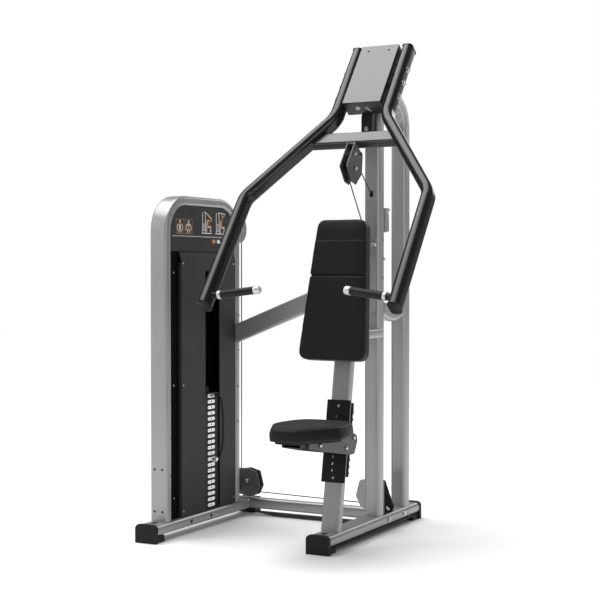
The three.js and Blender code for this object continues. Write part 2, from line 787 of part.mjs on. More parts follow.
// The bar's root is cut square to the arm.
function handleBar(side) {
  const bar = turned([
    [0, -6],
    [14, -6],
    [14, ringStart],
    [17.5, ringStart],
    [17.5, gripStart],
    [HANDLE.bar, gripStart],
    [HANDLE.bar, gripEnd],
    [17, gripEnd],
    [17, barEnd - 2],
    [15, barEnd],
    [0, barEnd],
  ]);
  return keepInside(bar, box(0, 300, -50, 50, -60, 60).rotateY(-side * HANDLE.slope * RAD));
}
function gripSleeve() {
  return turned([
    [HANDLE.bar + GAP, gripStart + GAP],
    [HANDLE.rubber, gripStart + GAP],
    [HANDLE.rubber, gripEnd - GAP],
    [HANDLE.bar + GAP, gripEnd - GAP],
    [HANDLE.bar + GAP, gripStart + GAP],
  ]);
}
for (const [side, word] of [
  [-1, "left"],
  [1, "right"],
]) {
  const frame = handleFrame(side);
  place("handle_" + word, handleBar(side), chrome, frame);
  place("grip_" + word, gripSleeve(), rubber, frame);
}

// ---------------------------------------------------------------- cable pulleys and brackets

// The low cable crosses between the frames at a slight angle, and its two pulleys stand in line
// with it.
const crossing = Math.atan2(FRAME_RISE.y - TOWER_DROP.y, FRAME_RISE.x - TOWER_DROP.x);
function alongCrossing(start, distance) {
  return { x: start.x + distance * Math.cos(crossing), y: start.y + distance * Math.sin(crossing) };
}
const towerLow = alongCrossing(TOWER_DROP, PULLEY.pitch);
const frameLow = alongCrossing(FRAME_RISE, -PULLEY.pitch);

function pulley(name, axis, x, y, z, parent = machine, size = PULLEY) {
  const mesh = place(name, pulleyGeometry(size), nylon, parent);
  mesh.rotation.z = axis === "x" ? Math.PI / 2 : crossing;
  mesh.position.set(x, y, z);
}
pulley("top_front_pulley", "x", TOWER.x, TOP_PULLEY.y, TOP_PULLEY.z);
pulley("top_rear_pulley", "x", TOWER.x, REAR_PULLEY.y, REAR_PULLEY.z);
pulley("tower_low_pulley", "y", towerLow.x, towerLow.y, LOW_PULLEY_Z);
pulley("frame_low_pulley", "y", frameLow.x, frameLow.y, LOW_PULLEY_Z);
pulley("frame_high_pulley", "x", 0, HIGH_PULLEY.y, HIGH_PULLEY.z, machine, SMALL_PULLEY);
pulley("arm_pulley", "x", 0, ARM_PULLEY.y, ARM_PULLEY.z, arm);

function ears(axis, shape, centre, axleY, axleZ) {
  const extrude = axis === "x" ? alongX : alongY;
  const low = extrude(shape, centre - EAR.outer, centre - EAR.inner, 3);
  const high = extrude(shape, centre + EAR.inner, centre + EAR.outer, 3);
  const axle = rod(axis, AXLE, centre - EAR.outer - 5, centre + EAR.outer + 5, axleY, axleZ, 14);
  return [low, high, axle];
}

// Under the tower's top: ears for the front pulley, and the plate that the guide rods end in.
function topBracketGeometry() {
  const ceiling = TOWER.top - TOWER.depth - GAP;
  const front = TOP_PULLEY.y - 46;
  const rear = TOP_PULLEY.y + 28;
  const shape = outline([
    [front, 1236],
    [rear, 1236],
    [rear, ceiling],
    [front, ceiling],
  ]);
  const flange = box(TOWER.x - 28, TOWER.x + 28, front, rear, ceiling - 6, ceiling);
  const shelf = box(TOWER.x - 30, TOWER.x + 30, STACK_Y - ROD.offset - 22, STACK_Y + ROD.offset + 22, 1234, 1242);
  const cableHole = rod("z", 9, 1220, 1250, TOWER.x, STACK_Y, 12);
  const sockets = [-1, 1].map((s) =>
    rod("z", ROD.radius + GAP, 1220, 1240, TOWER.x, STACK_Y + s * ROD.offset, 16),
  );
  const body = join(flange, shelf, ...ears("x", shape, TOWER.x, TOP_PULLEY.y, TOP_PULLEY.z));
  return cut(body, cableHole, ...sockets);
}
place("top_pulley_bracket", topBracketGeometry(), darkSteel);

// The rounded cover behind the tower's rear column, which carries the rear pulley.
function coverGeometry() {
  const back = TOWER.rear + GAP;
  const shape = (r) => {
    const s = new THREE.Shape();
    s.moveTo(back, REAR_PULLEY.z - r);
    s.lineTo(REAR_PULLEY.y, REAR_PULLEY.z - r);
    s.absarc(REAR_PULLEY.y, REAR_PULLEY.z, r, -Math.PI / 2, Math.PI / 2);
    s.lineTo(back, REAR_PULLEY.z + r);
    return s;
  };
  const outer = alongX(shape(PULLEY.outer + 6), TOWER.x - EAR.outer - 2, TOWER.x + EAR.outer + 2, 14);
  const inner = alongX(shape(PULLEY.outer + 3), TOWER.x - EAR.inner, TOWER.x + EAR.inner, 14);
  const mouth = box(TOWER.x - EAR.inner, TOWER.x + EAR.inner, back - 5, back + 60, 1200, REAR_PULLEY.z);
  const drop = TOWER_DROP.y;
  const exit = box(TOWER.x - EAR.inner, TOWER.x + EAR.inner, drop - 8, drop + 8, 1200, REAR_PULLEY.z);
  const axle = rod("x", AXLE, TOWER.x - EAR.outer, TOWER.x + EAR.outer, REAR_PULLEY.y, REAR_PULLEY.z, 14);
  return join(cut(outer, inner, mouth, exit), axle);
}
place("rear_pulley_cover", coverGeometry(), silver);

// Low pulley plates, drawn round the pulley and then turned in line with the crossing cable.
function lowPlates(points, side, centre) {
  const shape = outline(points.map(([x, z]) => [side * x, LOW_PULLEY_Z + z]));
  return ears("y", shape, 0, 0, LOW_PULLEY_Z).map((g) => g.rotateZ(crossing).translate(centre.x, centre.y, 0));
}

// The tower's plates hang on a web behind its rear column.
function towerLowBracket() {
  const plates = lowPlates(
    [
      [-86, 50],
      [-41, 52],
      [-9, 58],
      [45, 46],
      [63, -20],
      [42, -60],
      [7, -74],
      [-86, -58],
    ],
    1,
    towerLow,
  );
  const web = box(TOWER.x - 38, TOWER.x - 32, TOWER.rear + GAP, 176, 104, 208);
  return join(web, ...plates);
}
place("tower_low_bracket", towerLowBracket(), darkSteel);

// The seat frame's plates stand on its rail.
function frameLowBracket() {
  const sole = LOW_PULLEY_Z - RAIL_TOP - GAP;
  const plates = lowPlates(
    [
      [-41, 51],
      [-9, 58],
      [38, 54],
      [48, 44],
      [64, -20],
      [40, -66],
      [5, -78],
      [0, -sole],
      [-41, -sole],
    ],
    -1,
    frameLow,
  );
  const foot = box(0, 41, -EAR.outer, EAR.outer, RAIL_TOP + GAP, RAIL_TOP + 5);
  return join(foot.rotateZ(crossing).translate(frameLow.x, frameLow.y, 0), ...plates);
}
place("frame_low_bracket", frameLowBracket(), silver);

// Behind the front upright, cheeks for the high pulley, which sits half inside the upright.
function highBracketGeometry() {
  const back = UPRIGHT.depth + GAP;
  const rim = HIGH_PULLEY.y + SMALL_PULLEY.outer;
  const tail = [
    [rim + 2, 1300],
    [rim, 1352],
    [rim - 6, 1386],
    [rim - 16, 1399],
  ];
  const cheek = outline([[back, 1294], ...tail, [back, 1399]]);
  const ear = outline([[36, 1330], [back, 1296], ...tail, [back, 1399], [36, 1378]]);
  const half = UPRIGHT.width / 2;
  const plates = [
    alongX(cheek, half - 4, half),
    alongX(cheek, -half, 4 - half),
    box(-half, -EAR.inner, back, back + 3, 1296, 1398),
    box(EAR.inner, half, back, back + 3, 1296, 1398),
  ];
  const inner = ears("x", ear, 0, HIGH_PULLEY.y, HIGH_PULLEY.z);
  const brace = rod("x", 4, -half, half, rim - 10, 1392, 10);
  return join(...plates, ...inner, brace);
}
place("high_pulley_bracket", highBracketGeometry(), silver);

// Two plates under the crossbar for the press arm's pulley.
function armBracketGeometry() {
  const top = CROSSBAR.low - GAP;
  const shape = outline([
    [-12, top],
    [-12, -462],
    [62, -484],
    [100, -470],
    [118, -398],
    [78, top],
  ]);
  const flange = box(-EAR.outer, EAR.outer, CROSSBAR.front + 2, CROSSBAR.rear - 2, top - 5, top);
  return join(flange, ...ears("x", shape, 0, ARM_PULLEY.y, ARM_PULLEY.z));
}
place("arm_pulley_bracket", armBracketGeometry(), darkSteel, arm);

// The plate on the front upright that the cable ends on, with a fork and pin.
place(
  "cable_anchor",
  join(
    alongY(roundedRect(48, 330, 20), -8 - GAP, -GAP).translate(0, 0, 1115),
    box(-12, -6, -42, -8, 1226, 1254),
    box(6, 12, -42, -8, 1226, 1254),
    rod("x", 5, -16, 26, ANCHOR.y, ANCHOR.z, 12),
  ),
  silver,
);

// ---------------------------------------------------------------- weight tower

const rearColumnSlot = box(TOWER.x - 14, TOWER.x + 14, TOWER.rear - 120, TOWER.rear + 10, 1250, 1393);
place(
  "tower_frame",
  cut(
    bentArch(
      TOWER.x,
      TOWER.front,
      TOWER.rear,
      RAIL_TOP + GAP,
      TOWER.top,
      TOWER.width,
      TOWER.depth,
      TOWER.corner,
      TOWER.bend,
    ),
    rearColumnSlot,
  ),
  silver,
);

const insideFront = TOWER.front + TOWER.depth + GAP;
const insideRear = TOWER.rear - TOWER.depth - GAP;
const insideTop = TOWER.top - TOWER.depth - GAP;
const insideBend = TOWER.bend - TOWER.depth;

// The arch's inner outline above a given height, in YZ, held a little off its bends.
function archOutline(low) {
  const inset = 0.8;
  const y0 = insideFront + inset;
  const y1 = insideRear - inset;
  const z1 = insideTop - inset;
  const shape = new THREE.Shape();
  shape.moveTo(y0, low);
  shape.lineTo(y1, low);
  shape.absarc(y1 - insideBend, z1 - insideBend, insideBend, 0, Math.PI / 2);
  shape.absarc(y0 + insideBend, z1 - insideBend, insideBend, Math.PI / 2, Math.PI);
  return shape;
}

place("placard", alongX(archOutline(SHROUD.lip + GAP), -703, -700, 7), charcoal);

// The right-hand shroud, with the slot for the selector pin and a folded lip at its top and front.
function shroudGeometry() {
  const f = SHROUD.face;
  const s = SHROUD.sheet;
  const skin = outline([
    [f - s, SHROUD.low],
    [f, SHROUD.low],
    [f, SHROUD.high],
    [f - 12, SHROUD.lip],
    [f - 12 - s, SHROUD.lip],
    [f - s, SHROUD.high],
  ]);
  const edge = box(f - 14, f - 1, SHROUD.front, SHROUD.front + s, SHROUD.low, SHROUD.high - 14);
  const slot = alongX(roundedRect(SLOT.y1 - SLOT.y0, SLOT.high - SLOT.low, 8), f - 30, f + 10);
  slot.translate(0, (SLOT.y0 + SLOT.y1) / 2, (SLOT.low + SLOT.high) / 2);
  return cut(join(alongY(skin, SHROUD.front, insideRear), edge), slot);
}
place("shroud_panel", shroudGeometry(), charcoal);

// The dark inner liner: the far side, and a recessed strip on the near side by the front column.
function linerGeometry() {
  const far = -775;
  const s = SHROUD.sheet;
  const near = -709;
  const section = outline([
    [far, insideFront],
    [near, insideFront],
    [near, SHROUD.front + 30],
    [near - s, SHROUD.front + 30],
    [near - s, insideFront + s],
    [far + s, insideFront + s],
    [far + s, insideRear],
    [far, insideRear],
  ]);
  const wall = alongZ(section, SHROUD.low, SHROUD.lip);
  return join(wall, alongX(archOutline(SHROUD.lip - 1), far, far + s, 7));
}
place("shroud_liner", linerGeometry(), nylon);

// Guide rods, bumper and plates
const rodY = [STACK_Y - ROD.offset, STACK_Y + ROD.offset];
place("guide_rod_front", rod("z", ROD.radius, RAIL_TOP + GAP, ROD.top + 5, TOWER.x, rodY[0], 16), chrome);
place("guide_rod_rear", rod("z", ROD.radius, RAIL_TOP + GAP, ROD.top + 5, TOWER.x, rodY[1], 16), chrome);

function rodHoles(low, high, radius = ROD.radius + 1.5) {
  return rodY.map((y) => rod("z", radius, low, high, TOWER.x, y, 16));
}
const stackBox = (z0, z1) =>
  box(TOWER.x - PLATE.width / 2, TOWER.x + PLATE.width / 2, STACK_Y - PLATE.length / 2, STACK_Y + PLATE.length / 2, z0, z1);

place(
  "stack_bumper",
  cut(stackBox(RAIL_TOP + GAP, PLATE.bottom - GAP), ...rodHoles(60, 90), rod("z", STEM + 3, 60, 90, TOWER.x, STACK_Y)),
  rubber,
);

// A block of plates, with the joint between each pair cut as a groove on its two long sides.
function platesGeometry(count, bottom) {
  const half = PLATE.width / 2;
  const right = [];
  for (let i = 0; i < count; i += 1) {
    const low = bottom + i * PLATE.pitch + (i ? PLATE.groove / 2 : 0);
    const high = bottom + (i + 1) * PLATE.pitch - PLATE.groove / 2;
    right.push([half, low], [half, high]);
    if (i < count - 1) {
      right.push([half - PLATE.grooveDepth, high], [half - PLATE.grooveDepth, high + PLATE.groove]);
    }
  }
  const left = right.map(([x, z]) => [-x, z]).reverse();
  const block = alongY(
    outline([...right, ...left]),
    STACK_Y - PLATE.length / 2,
    STACK_Y + PLATE.length / 2,
  ).translate(TOWER.x, 0, 0);
  const top = bottom + count * PLATE.pitch + 5;
  return [block, ...rodHoles(bottom - 5, top), rod("z", STEM + 2, bottom - 5, top, TOWER.x, STACK_Y, 16)];
}
const resting = PLATES - SELECTED;
const liftedBottom = PLATE.bottom + resting * PLATE.pitch;
const pinZ = liftedBottom + PLATE.pitch / 2;
const stackTop = PLATE.bottom + PLATES * PLATE.pitch;
const headBottom = stackTop - PLATE.pitch;
place("resting_plates", cut(...platesGeometry(resting, PLATE.bottom)), castIron);
const pinHole = rod("x", PIN.radius + GAP, TOWER.x - 20, TOWER.x + 60, STACK_Y, pinZ, 12);
place("lifted_plates", cut(...platesGeometry(SELECTED - 1, liftedBottom), pinHole), castIron);

// The head plate slides on the guide rods and carries the selector stem.
function headGeometry() {
  const bushes = rodY.map((y) => rod("z", 17, stackTop - 5, stackTop + 32, TOWER.x, y, 16));
  const boss = rod("z", 16, stackTop - 5, stackTop + 26, TOWER.x, STACK_Y, 16);
  const stem = rod("z", STEM, PLATE.bottom + 12, headBottom + 5, TOWER.x, STACK_Y, 16);
  const body = join(stackBox(headBottom + 0.8, stackTop), ...bushes, boss, stem);
  return cut(body, ...rodHoles(headBottom - 5, stackTop + 60, ROD.radius + 0.6), pinHole);
}
place("head_plate", headGeometry(), castIron);

place(
  "selector_pin",
  join(
    rod("x", PIN.radius, TOWER.x + PIN.inner, TOWER.x + PIN.outer, STACK_Y, pinZ, 12),
    rod("x", PIN.head, TOWER.x + PIN.headLow, TOWER.x + PIN.headHigh, STACK_Y, pinZ, 16),
    rod("x", PIN.knob, TOWER.x + PIN.headHigh - 1, TOWER.x + PIN.tip, STACK_Y, pinZ, 16),
  ),
  chrome,
);

// The pin's curly tether, drawn as its outer tube.
function tetherGeometry() {
  const x = TOWER.x + PLATE.width / 2;
  const path = new BentPath(
    [
      v(x + 3, -194, stackTop - 12),
      v(x + 27, -186, stackTop - 6),
      v(x + 30, -140, stackTop - 30),
      v(x + 31, -124, 480),
      v(x + 31, -122, 390),
      v(x + 31, -134, 330),
      v(x + 27, STACK_Y + 20, pinZ + 3),
    ],
    26,
    3,
  );
  return sweep(cordSection(TETHER), path);
}
place("pin_tether", tetherGeometry(), cableCoat);

// ---------------------------------------------------------------- cable

// From the front top pulley to the hole in the front upright, all of it held by the frame.
function cableRun() {
  const p = PULLEY.pitch;
  const topZ = TOP_PULLEY.z + p;
  const lowZ = LOW_PULLEY_Z - p;
  const small = SMALL_PULLEY.pitch;
  const rise = Math.atan2(armFeed.z - CABLE_EXIT.z, CABLE_EXIT.y - armFeed.y);
  const bendZ = HIGH_PULLEY.z + small * Math.tan((Math.PI / 2 - rise) / 2);
  const corners = [
    v(TOWER.x, STACK_Y, TOP_PULLEY.z - 4),
    v(TOWER.x, STACK_Y, topZ),
    v(TOWER_DROP.x, TOWER_DROP.y, topZ),
    v(TOWER_DROP.x, TOWER_DROP.y, lowZ),
    v(FRAME_RISE.x, FRAME_RISE.y, lowZ),
    v(FRAME_RISE.x, FRAME_RISE.y, bendZ),
    v(0, 14, bendZ + Math.tan(rise) * (FRAME_RISE.y - 14)),
  ];
  return sweep(cordSection(CABLE), new BentPath(corners, [p, p, p, p, small], 7));
}

// The point where the feed strand touches the press arm's pulley at rest.
const armPulleyAt = fromGroup(arm, 0, ARM_PULLEY.y, ARM_PULLEY.z);
function tangentPoint(centre, from, radius, side) {
  const dy = from.y - centre.y;
  const dz = from.z - centre.z;
  const reach = Math.hypot(dy, dz);
  const a = Math.atan2(dz, dy) + side * Math.acos(radius / reach);
  return { y: centre.y + radius * Math.cos(a), z: centre.z + radius * Math.sin(a), angle: a };
}
const armFeed = tangentPoint(armPulleyAt, CABLE_EXIT, PULLEY.pitch, 1);
const armReturn = tangentPoint(armPulleyAt, ANCHOR, PULLEY.pitch, -1);
place("cable_run", cableRun(), cableCoat);

place(
  "stack_cable",
  rod("z", CABLE, stackTop + 26 + GAP, TOP_PULLEY.z - 4 - GAP, TOWER.x, STACK_Y, 8),
  cableCoat,
);

// Out of the upright, over the press arm's pulley and back down to the anchor.
function armCable() {
  const stations = [v(0, -4, CABLE_EXIT.z + (4 * (armFeed.z - CABLE_EXIT.z)) / -armFeed.y)];
  const from = armFeed.angle;
  const to = armReturn.angle + 2 * Math.PI;
  const steps = 14;
  for (let i = 0; i <= steps; i += 1) {
    const a = from + ((to - from) * i) / steps;
    stations.push(
      v(0, armPulleyAt.y + PULLEY.pitch * Math.cos(a), armPulleyAt.z + PULLEY.pitch * Math.sin(a)),
    );
  }
  stations.push(v(0, ANCHOR.y - 3, ANCHOR.z + 8));
  return sweep(cordSection(CABLE), new BentPath(stations, 3, 1));
}
place("arm_cable", armCable(), cableCoat);

export default machine;
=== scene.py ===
"""The chest press machine's looks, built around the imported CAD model.

Shapes are laid out in millimetres in the machine's own frames (see MACHINE, POST, ARM) and turned
into metres in the shared frame when their mesh is made.
"""

import json
import math

import bmesh
import bpy
import numpy as np
from mathutils import Matrix, Vector
from mathutils.bvhtree import BVHTree


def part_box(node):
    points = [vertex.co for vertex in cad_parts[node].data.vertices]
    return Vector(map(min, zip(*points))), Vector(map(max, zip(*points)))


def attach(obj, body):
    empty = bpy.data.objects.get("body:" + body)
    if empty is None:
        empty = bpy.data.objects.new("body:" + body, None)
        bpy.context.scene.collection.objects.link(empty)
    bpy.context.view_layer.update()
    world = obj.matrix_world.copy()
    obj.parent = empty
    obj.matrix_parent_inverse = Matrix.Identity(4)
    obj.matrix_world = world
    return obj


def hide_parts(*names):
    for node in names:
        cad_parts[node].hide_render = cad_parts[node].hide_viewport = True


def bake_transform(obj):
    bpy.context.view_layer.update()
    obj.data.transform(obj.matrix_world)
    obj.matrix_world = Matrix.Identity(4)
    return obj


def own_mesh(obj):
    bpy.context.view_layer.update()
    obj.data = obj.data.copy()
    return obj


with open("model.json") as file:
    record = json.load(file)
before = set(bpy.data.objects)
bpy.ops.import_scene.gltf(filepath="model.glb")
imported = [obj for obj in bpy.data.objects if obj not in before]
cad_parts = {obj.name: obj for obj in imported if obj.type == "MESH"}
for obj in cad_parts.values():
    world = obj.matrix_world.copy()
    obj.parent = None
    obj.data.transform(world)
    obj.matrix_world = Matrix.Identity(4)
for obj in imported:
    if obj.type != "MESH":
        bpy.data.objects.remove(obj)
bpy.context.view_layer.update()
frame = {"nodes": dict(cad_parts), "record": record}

MM = 0.001
SIDES = (-1, 1)
# Where the machine's own origin stands in the shared frame, in mm
ORIGIN_X, ORIGIN_Y = 173.05, 180.5
nodes = frame["nodes"]
scene = bpy.context.scene

# ---- frames, in mm


def frame_at(x, y, z, lean=0.0):
    """A frame of the machine: mm in it to metres in the shared frame."""
    return (
        Matrix.Scale(MM, 4)
        @ Matrix.Translation((x + ORIGIN_X, y + ORIGIN_Y, z))
        @ Matrix.Rotation(math.radians(-lean), 4, "X")
    )


MACHINE = frame_at(0, 0, 0)
POST = frame_at(0, -403.7, 67, 10.2)
ARM = frame_at(0, 10, 1921, 36.8)


def facing(point, normal, up=(0, 0, 1)):
    """A local frame at a point: z along the normal, y as near to up as it can be."""
    z = Vector(normal).normalized()
    u = Vector(up)
    if abs(z.dot(u.normalized())) > 0.99:
        u = Vector((0, 1, 0))
    x = u.cross(z).normalized()
    y = z.cross(x)
    m = Matrix((x, y, z)).transposed().to_4x4()
    return Matrix.Translation(point) @ m


def machine_box(name):
    """A CAD node's low and high corners in the machine's own mm."""
    return [corner / MM - Vector((ORIGIN_X, ORIGIN_Y, 0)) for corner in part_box(name)]


# ---- camera

camera_data = bpy.data.cameras.new("camera")
camera_data.lens = 80.78
camera_data.sensor_width = 36
camera_data.clip_end = 60
camera = bpy.data.objects.new("camera", camera_data)
camera.location = (2.60355, -5.0590, 1.1222)
camera.rotation_euler = (math.radians(88.82), 0, math.radians(27.92))
scene.collection.objects.link(camera)
scene.camera = camera
scene.view_settings.view_transform = "Standard"

# ---- shapes: (points, faces)


def turned(profile, count=28):
    """A closed body of revolution about z, from (height, radius) pairs."""
    points, faces, rings = [], [], []
    for z, r in profile:
        start = len(points)
        if r <= 0:
            points.append((0, 0, z))
            rings.append([start])
            continue
        for i in range(count):
            a = 2 * math.pi * i / count
            points.append((r * math.cos(a), r * math.sin(a), z))
        rings.append(list(range(start, start + count)))
    for a, b in zip(rings, rings[1:]):
        for i in range(count):
            j = (i + 1) % count
            if len(a) == 1:
                faces.append((a[0], b[j], b[i]))
            elif len(b) == 1:
                faces.append((a[i], a[j], b[0]))
            else:
                faces.append((a[i], a[j], b[j], b[i]))
    for ring in (rings[0], rings[-1]):
        if len(ring) > 1:
            faces.append(tuple(ring))
    return points, faces


def loft(rings, closed_ring=False):
    """A closed body through rings of points of one count."""
    count = len(rings[0])
    points = [tuple(p) for ring in rings for p in ring]
    faces = []
    total = len(rings)
    for k in range(total if closed_ring else total - 1):
        a, b = k * count, ((k + 1) % total) * count
        for i in range(count):
            j = (i + 1) % count
            faces.append((a + i, a + j, b + j, b + i))
    if not closed_ring:
        faces.append(tuple(range(count)))
        faces.append(tuple(range((total - 1) * count, total * count)))
    return points, faces


def rounded(half_x, half_y, radius, steps=6):
    """The outline of a rectangle with round corners."""
    radius = min(radius, half_x, half_y)
    ring = []
    corners = ((1, 1, 0), (-1, 1, 90), (-1, -1, 180), (1, -1, 270))
    for sx, sy, start in corners:
        for i in range(steps + 1):
            a = math.radians(start + 90 * i / steps)
            ring.append(
                (
                    sx * (half_x - radius) + radius * math.cos(a),
                    sy * (half_y - radius) + radius * math.sin(a),
                )
            )
    return ring


def tile(half_x, half_y, radius, height, edge=0.6, steps=6):
    """A flat plate on z = 0 with round corners and a broken top edge."""
    edge = min(edge, height * 0.8)
    rings = []
    for z, inset in ((0, 0), (height - edge, 0), (height - edge * 0.3, edge * 0.3), (height, edge)):
        ring = rounded(half_x - inset, half_y - inset, max(radius - inset, 0.05), steps)
        rings.append([(x, y, z) for x, y in ring])
    return loft(rings)


def tube(path, radius, count=10, closed=False):
    """A round tube along points, with its frame carried along without twist."""
    pts = [Vector(p) for p in path]
    n = len(pts)
    tangents = []
    for i in range(n):
        a = pts[(i - 1) % n] if closed or i else pts[0]
        b = pts[(i + 1) % n] if closed or i < n - 1 else pts[-1]
        tangents.append((b - a).normalized())
    side = tangents[0].orthogonal().normalized()
    rings = []
    for p, t in zip(pts, tangents):
        side = (side - t * side.dot(t)).normalized()
        other = t.cross(side)
        rings.append(
            [
                p + radius * (math.cos(a) * side + math.sin(a) * other)
                for a in (2 * math.pi * k / count for k in range(count))
            ]
        )
    return loft(rings, closed_ring=closed)


def evaluated_mesh(obj):
    """A new mesh: obj's as its modifiers or curve settings leave it."""
    return bpy.data.meshes.new_from_object(obj.evaluated_get(bpy.context.evaluated_depsgraph_get()))


def text_shape(string, size, depth):
    """Digits as a closed flat body, centred on the origin and facing +z."""
    curve = bpy.data.curves.new("text", "FONT")
    curve.body = string
    curve.size = size
    curve.align_x = "CENTER"
    curve.align_y = "CENTER"
    curve.extrude = depth / 2
    curve.resolution_u = 3
    obj = bpy.data.objects.new("text", curve)
    scene.collection.objects.link(obj)
    bpy.context.view_layer.update()
    mesh = evaluated_mesh(obj)
    points = [tuple(v.co) for v in mesh.vertices]
    faces = [tuple(p.vertices) for p in mesh.polygons]
    bpy.data.objects.remove(obj)
    bpy.data.curves.remove(curve)
    bpy.data.meshes.remove(mesh)
    return points, faces


def moved(shape, matrix):
    points, faces = shape
    return [tuple(matrix @ Vector(p)) for p in points], faces


def joined(shapes):
    points, faces = [], []
    for p, f in shapes:
        base = len(points)
        points += p
        faces += [tuple(base + i for i in face) for face in f]
    return points, faces


# ---- making pieces


def shade(mesh, angle):
    mesh.polygons.foreach_set("use_smooth", [True] * len(mesh.polygons))
    mesh.set_sharp_from_angle(angle=math.radians(angle))


def make(name, shape, place=MACHINE):
    mesh = bpy.data.meshes.new(name)
    points, faces = shape
    mesh.from_pydata([place @ Vector(p) for p in points], [], faces)
    b = bmesh.new()
    b.from_mesh(mesh)
    bmesh.ops.remove_doubles(b, verts=b.verts, dist=1e-6)
    bmesh.ops.recalc_face_normals(b, faces=b.faces)
    b.to_mesh(mesh)
    b.free()
    obj = bpy.data.objects.new(name, mesh)
    scene.collection.objects.link(obj)
    return obj


def dress(obj, material, angle=40):
    obj.data.materials.clear()
    obj.data.materials.append(material)
    shade(obj.data, angle)
    return obj


def piece(name, shape, material, body="frame", place=MACHINE, angle=40, replaces=()):
    obj = dress(make(name, shape, place), material, angle)
    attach(obj, body)
    if replaces:
        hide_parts(*replaces)
    return obj


# ---- materials


class Paint:
    """A node material around one Principled shader."""

    def __init__(self, name):
        self.material = bpy.data.materials.new(name)
        self.material.use_nodes = True
        self.tree = self.material.node_tree
        self.shader = self.tree.nodes["Principled BSDF"]
        self.coord = self.new("ShaderNodeTexCoord").outputs["Object"]

    def new(self, kind, **values):
        node = self.tree.nodes.new(kind)
        for key, value in values.items():
            setattr(node, key, value)
        return node

    def link(self, a, b):
        self.tree.links.new(a, b)

    def stretched(self, scale):
        node = self.new("ShaderNodeMapping")
        node.inputs["Scale"].default_value = scale
        self.link(self.coord, node.inputs["Vector"])
        return node.outputs["Vector"]

    def noise(self, scale, detail=3, rough=0.55, vector=None):
        node = self.new("ShaderNodeTexNoise")
        node.inputs["Scale"].default_value = scale
        node.inputs["Detail"].default_value = detail
        node.inputs["Roughness"].default_value = rough
        self.link(vector or self.coord, node.inputs["Vector"])
        return node.outputs["Fac"]

    def cells(self, scale, feature="F1", vector=None):
        node = self.new("ShaderNodeTexVoronoi", feature=feature)
        node.inputs["Scale"].default_value = scale
        self.link(vector or self.coord, node.inputs["Vector"])
        return node.outputs["Distance"]

    def remap(self, value, low, high, start=0.3, end=0.7):
        node = self.new("ShaderNodeMapRange")
        for key, number in (("From Min", start), ("From Max", end), ("To Min", low), ("To Max", high)):
            node.inputs[key].default_value = number
        self.link(value, node.inputs["Value"])
        return node.outputs["Result"]

    def math(self, kind, a, b):
        node = self.new("ShaderNodeMath", operation=kind)
        for socket, value in zip(node.inputs, (a, b)):
            if isinstance(value, (int, float)):
                socket.default_value = value
            else:
                self.link(value, socket)
        return node.outputs["Value"]

    def sum_of(self, a, share_a, b, share_b):
        return self.math("ADD", self.math("MULTIPLY", a, share_a), self.math("MULTIPLY", b, share_b))

    def mix(self, factor, a, b):
        node = self.new("ShaderNodeMix", data_type="RGBA")
        if isinstance(factor, (int, float)):
            node.inputs["Factor"].default_value = factor
        else:
            self.link(factor, node.inputs["Factor"])
        for socket, value in ((node.inputs[6], a), (node.inputs[7], b)):
            if isinstance(value, tuple):
                socket.default_value = (*value, 1)
            else:
                self.link(value, socket)
        return node.outputs[2]

    def colour(self, value):
        self.link(value, self.shader.inputs["Base Color"])

    def roughness(self, value):
        self.link(value, self.shader.inputs["Roughness"])

    def bump(self, height, strength, distance):
        node = self.new("ShaderNodeBump")
        node.inputs["Strength"].default_value = strength
        node.inputs["Distance"].default_value = distance
        self.link(height, node.inputs["Height"])
        self.link(node.outputs["Normal"], self.shader.inputs["Normal"])

    def set(self, **values):
        for key, value in values.items():
            self.shader.inputs[key.replace("_", " ")].default_value = value
        return self


def shades(colour, spread):
    return tuple(c * (1 - spread) for c in colour), tuple(min(c * (1 + spread), 1) for c in colour)


def coat(name, colour, rough, grain, broad, spread, bump, specular=0.5, depth=0.0002, **values):
    """Sprayed or moulded surface: broad cloudiness, fine grain and orange peel."""
    p = Paint(name)
    fine = p.noise(grain, 2)
    cloud = p.noise(broad, 4)
    low, high = shades(colour, spread)
    speck = p.sum_of(cloud, 0.7, fine, 0.3)
    p.colour(p.mix(p.remap(speck, 0, 1, 0.35, 0.65), low, high))
    p.roughness(p.remap(p.sum_of(cloud, 0.5, fine, 0.5), *rough))
    peel = p.noise(grain * 0.28, 3)
    p.bump(p.math("ADD", p.math("MULTIPLY", fine, 0.4), peel), bump, depth)
    p.set(Specular_IOR_Level=specular, **values)
    return p.material


def brushed(name, colour, rough=(0.12, 0.24), stretch=(1, 1, 30), spread=0.08, **values):
    """Turned or drawn metal with fine drag lines and faint smudges."""
    p = Paint(name)
    lines = p.noise(220, 3, 0.6, p.stretched(stretch))
    smudge = p.noise(38, 3)
    low, high = shades(colour, spread)
    p.colour(p.mix(lines, low, high))
    p.roughness(p.remap(p.sum_of(lines, 0.5, smudge, 0.5), *rough))
    p.bump(lines, 0.06, 0.0001)
    p.set(Metallic=1.0, **values)
    return p.material


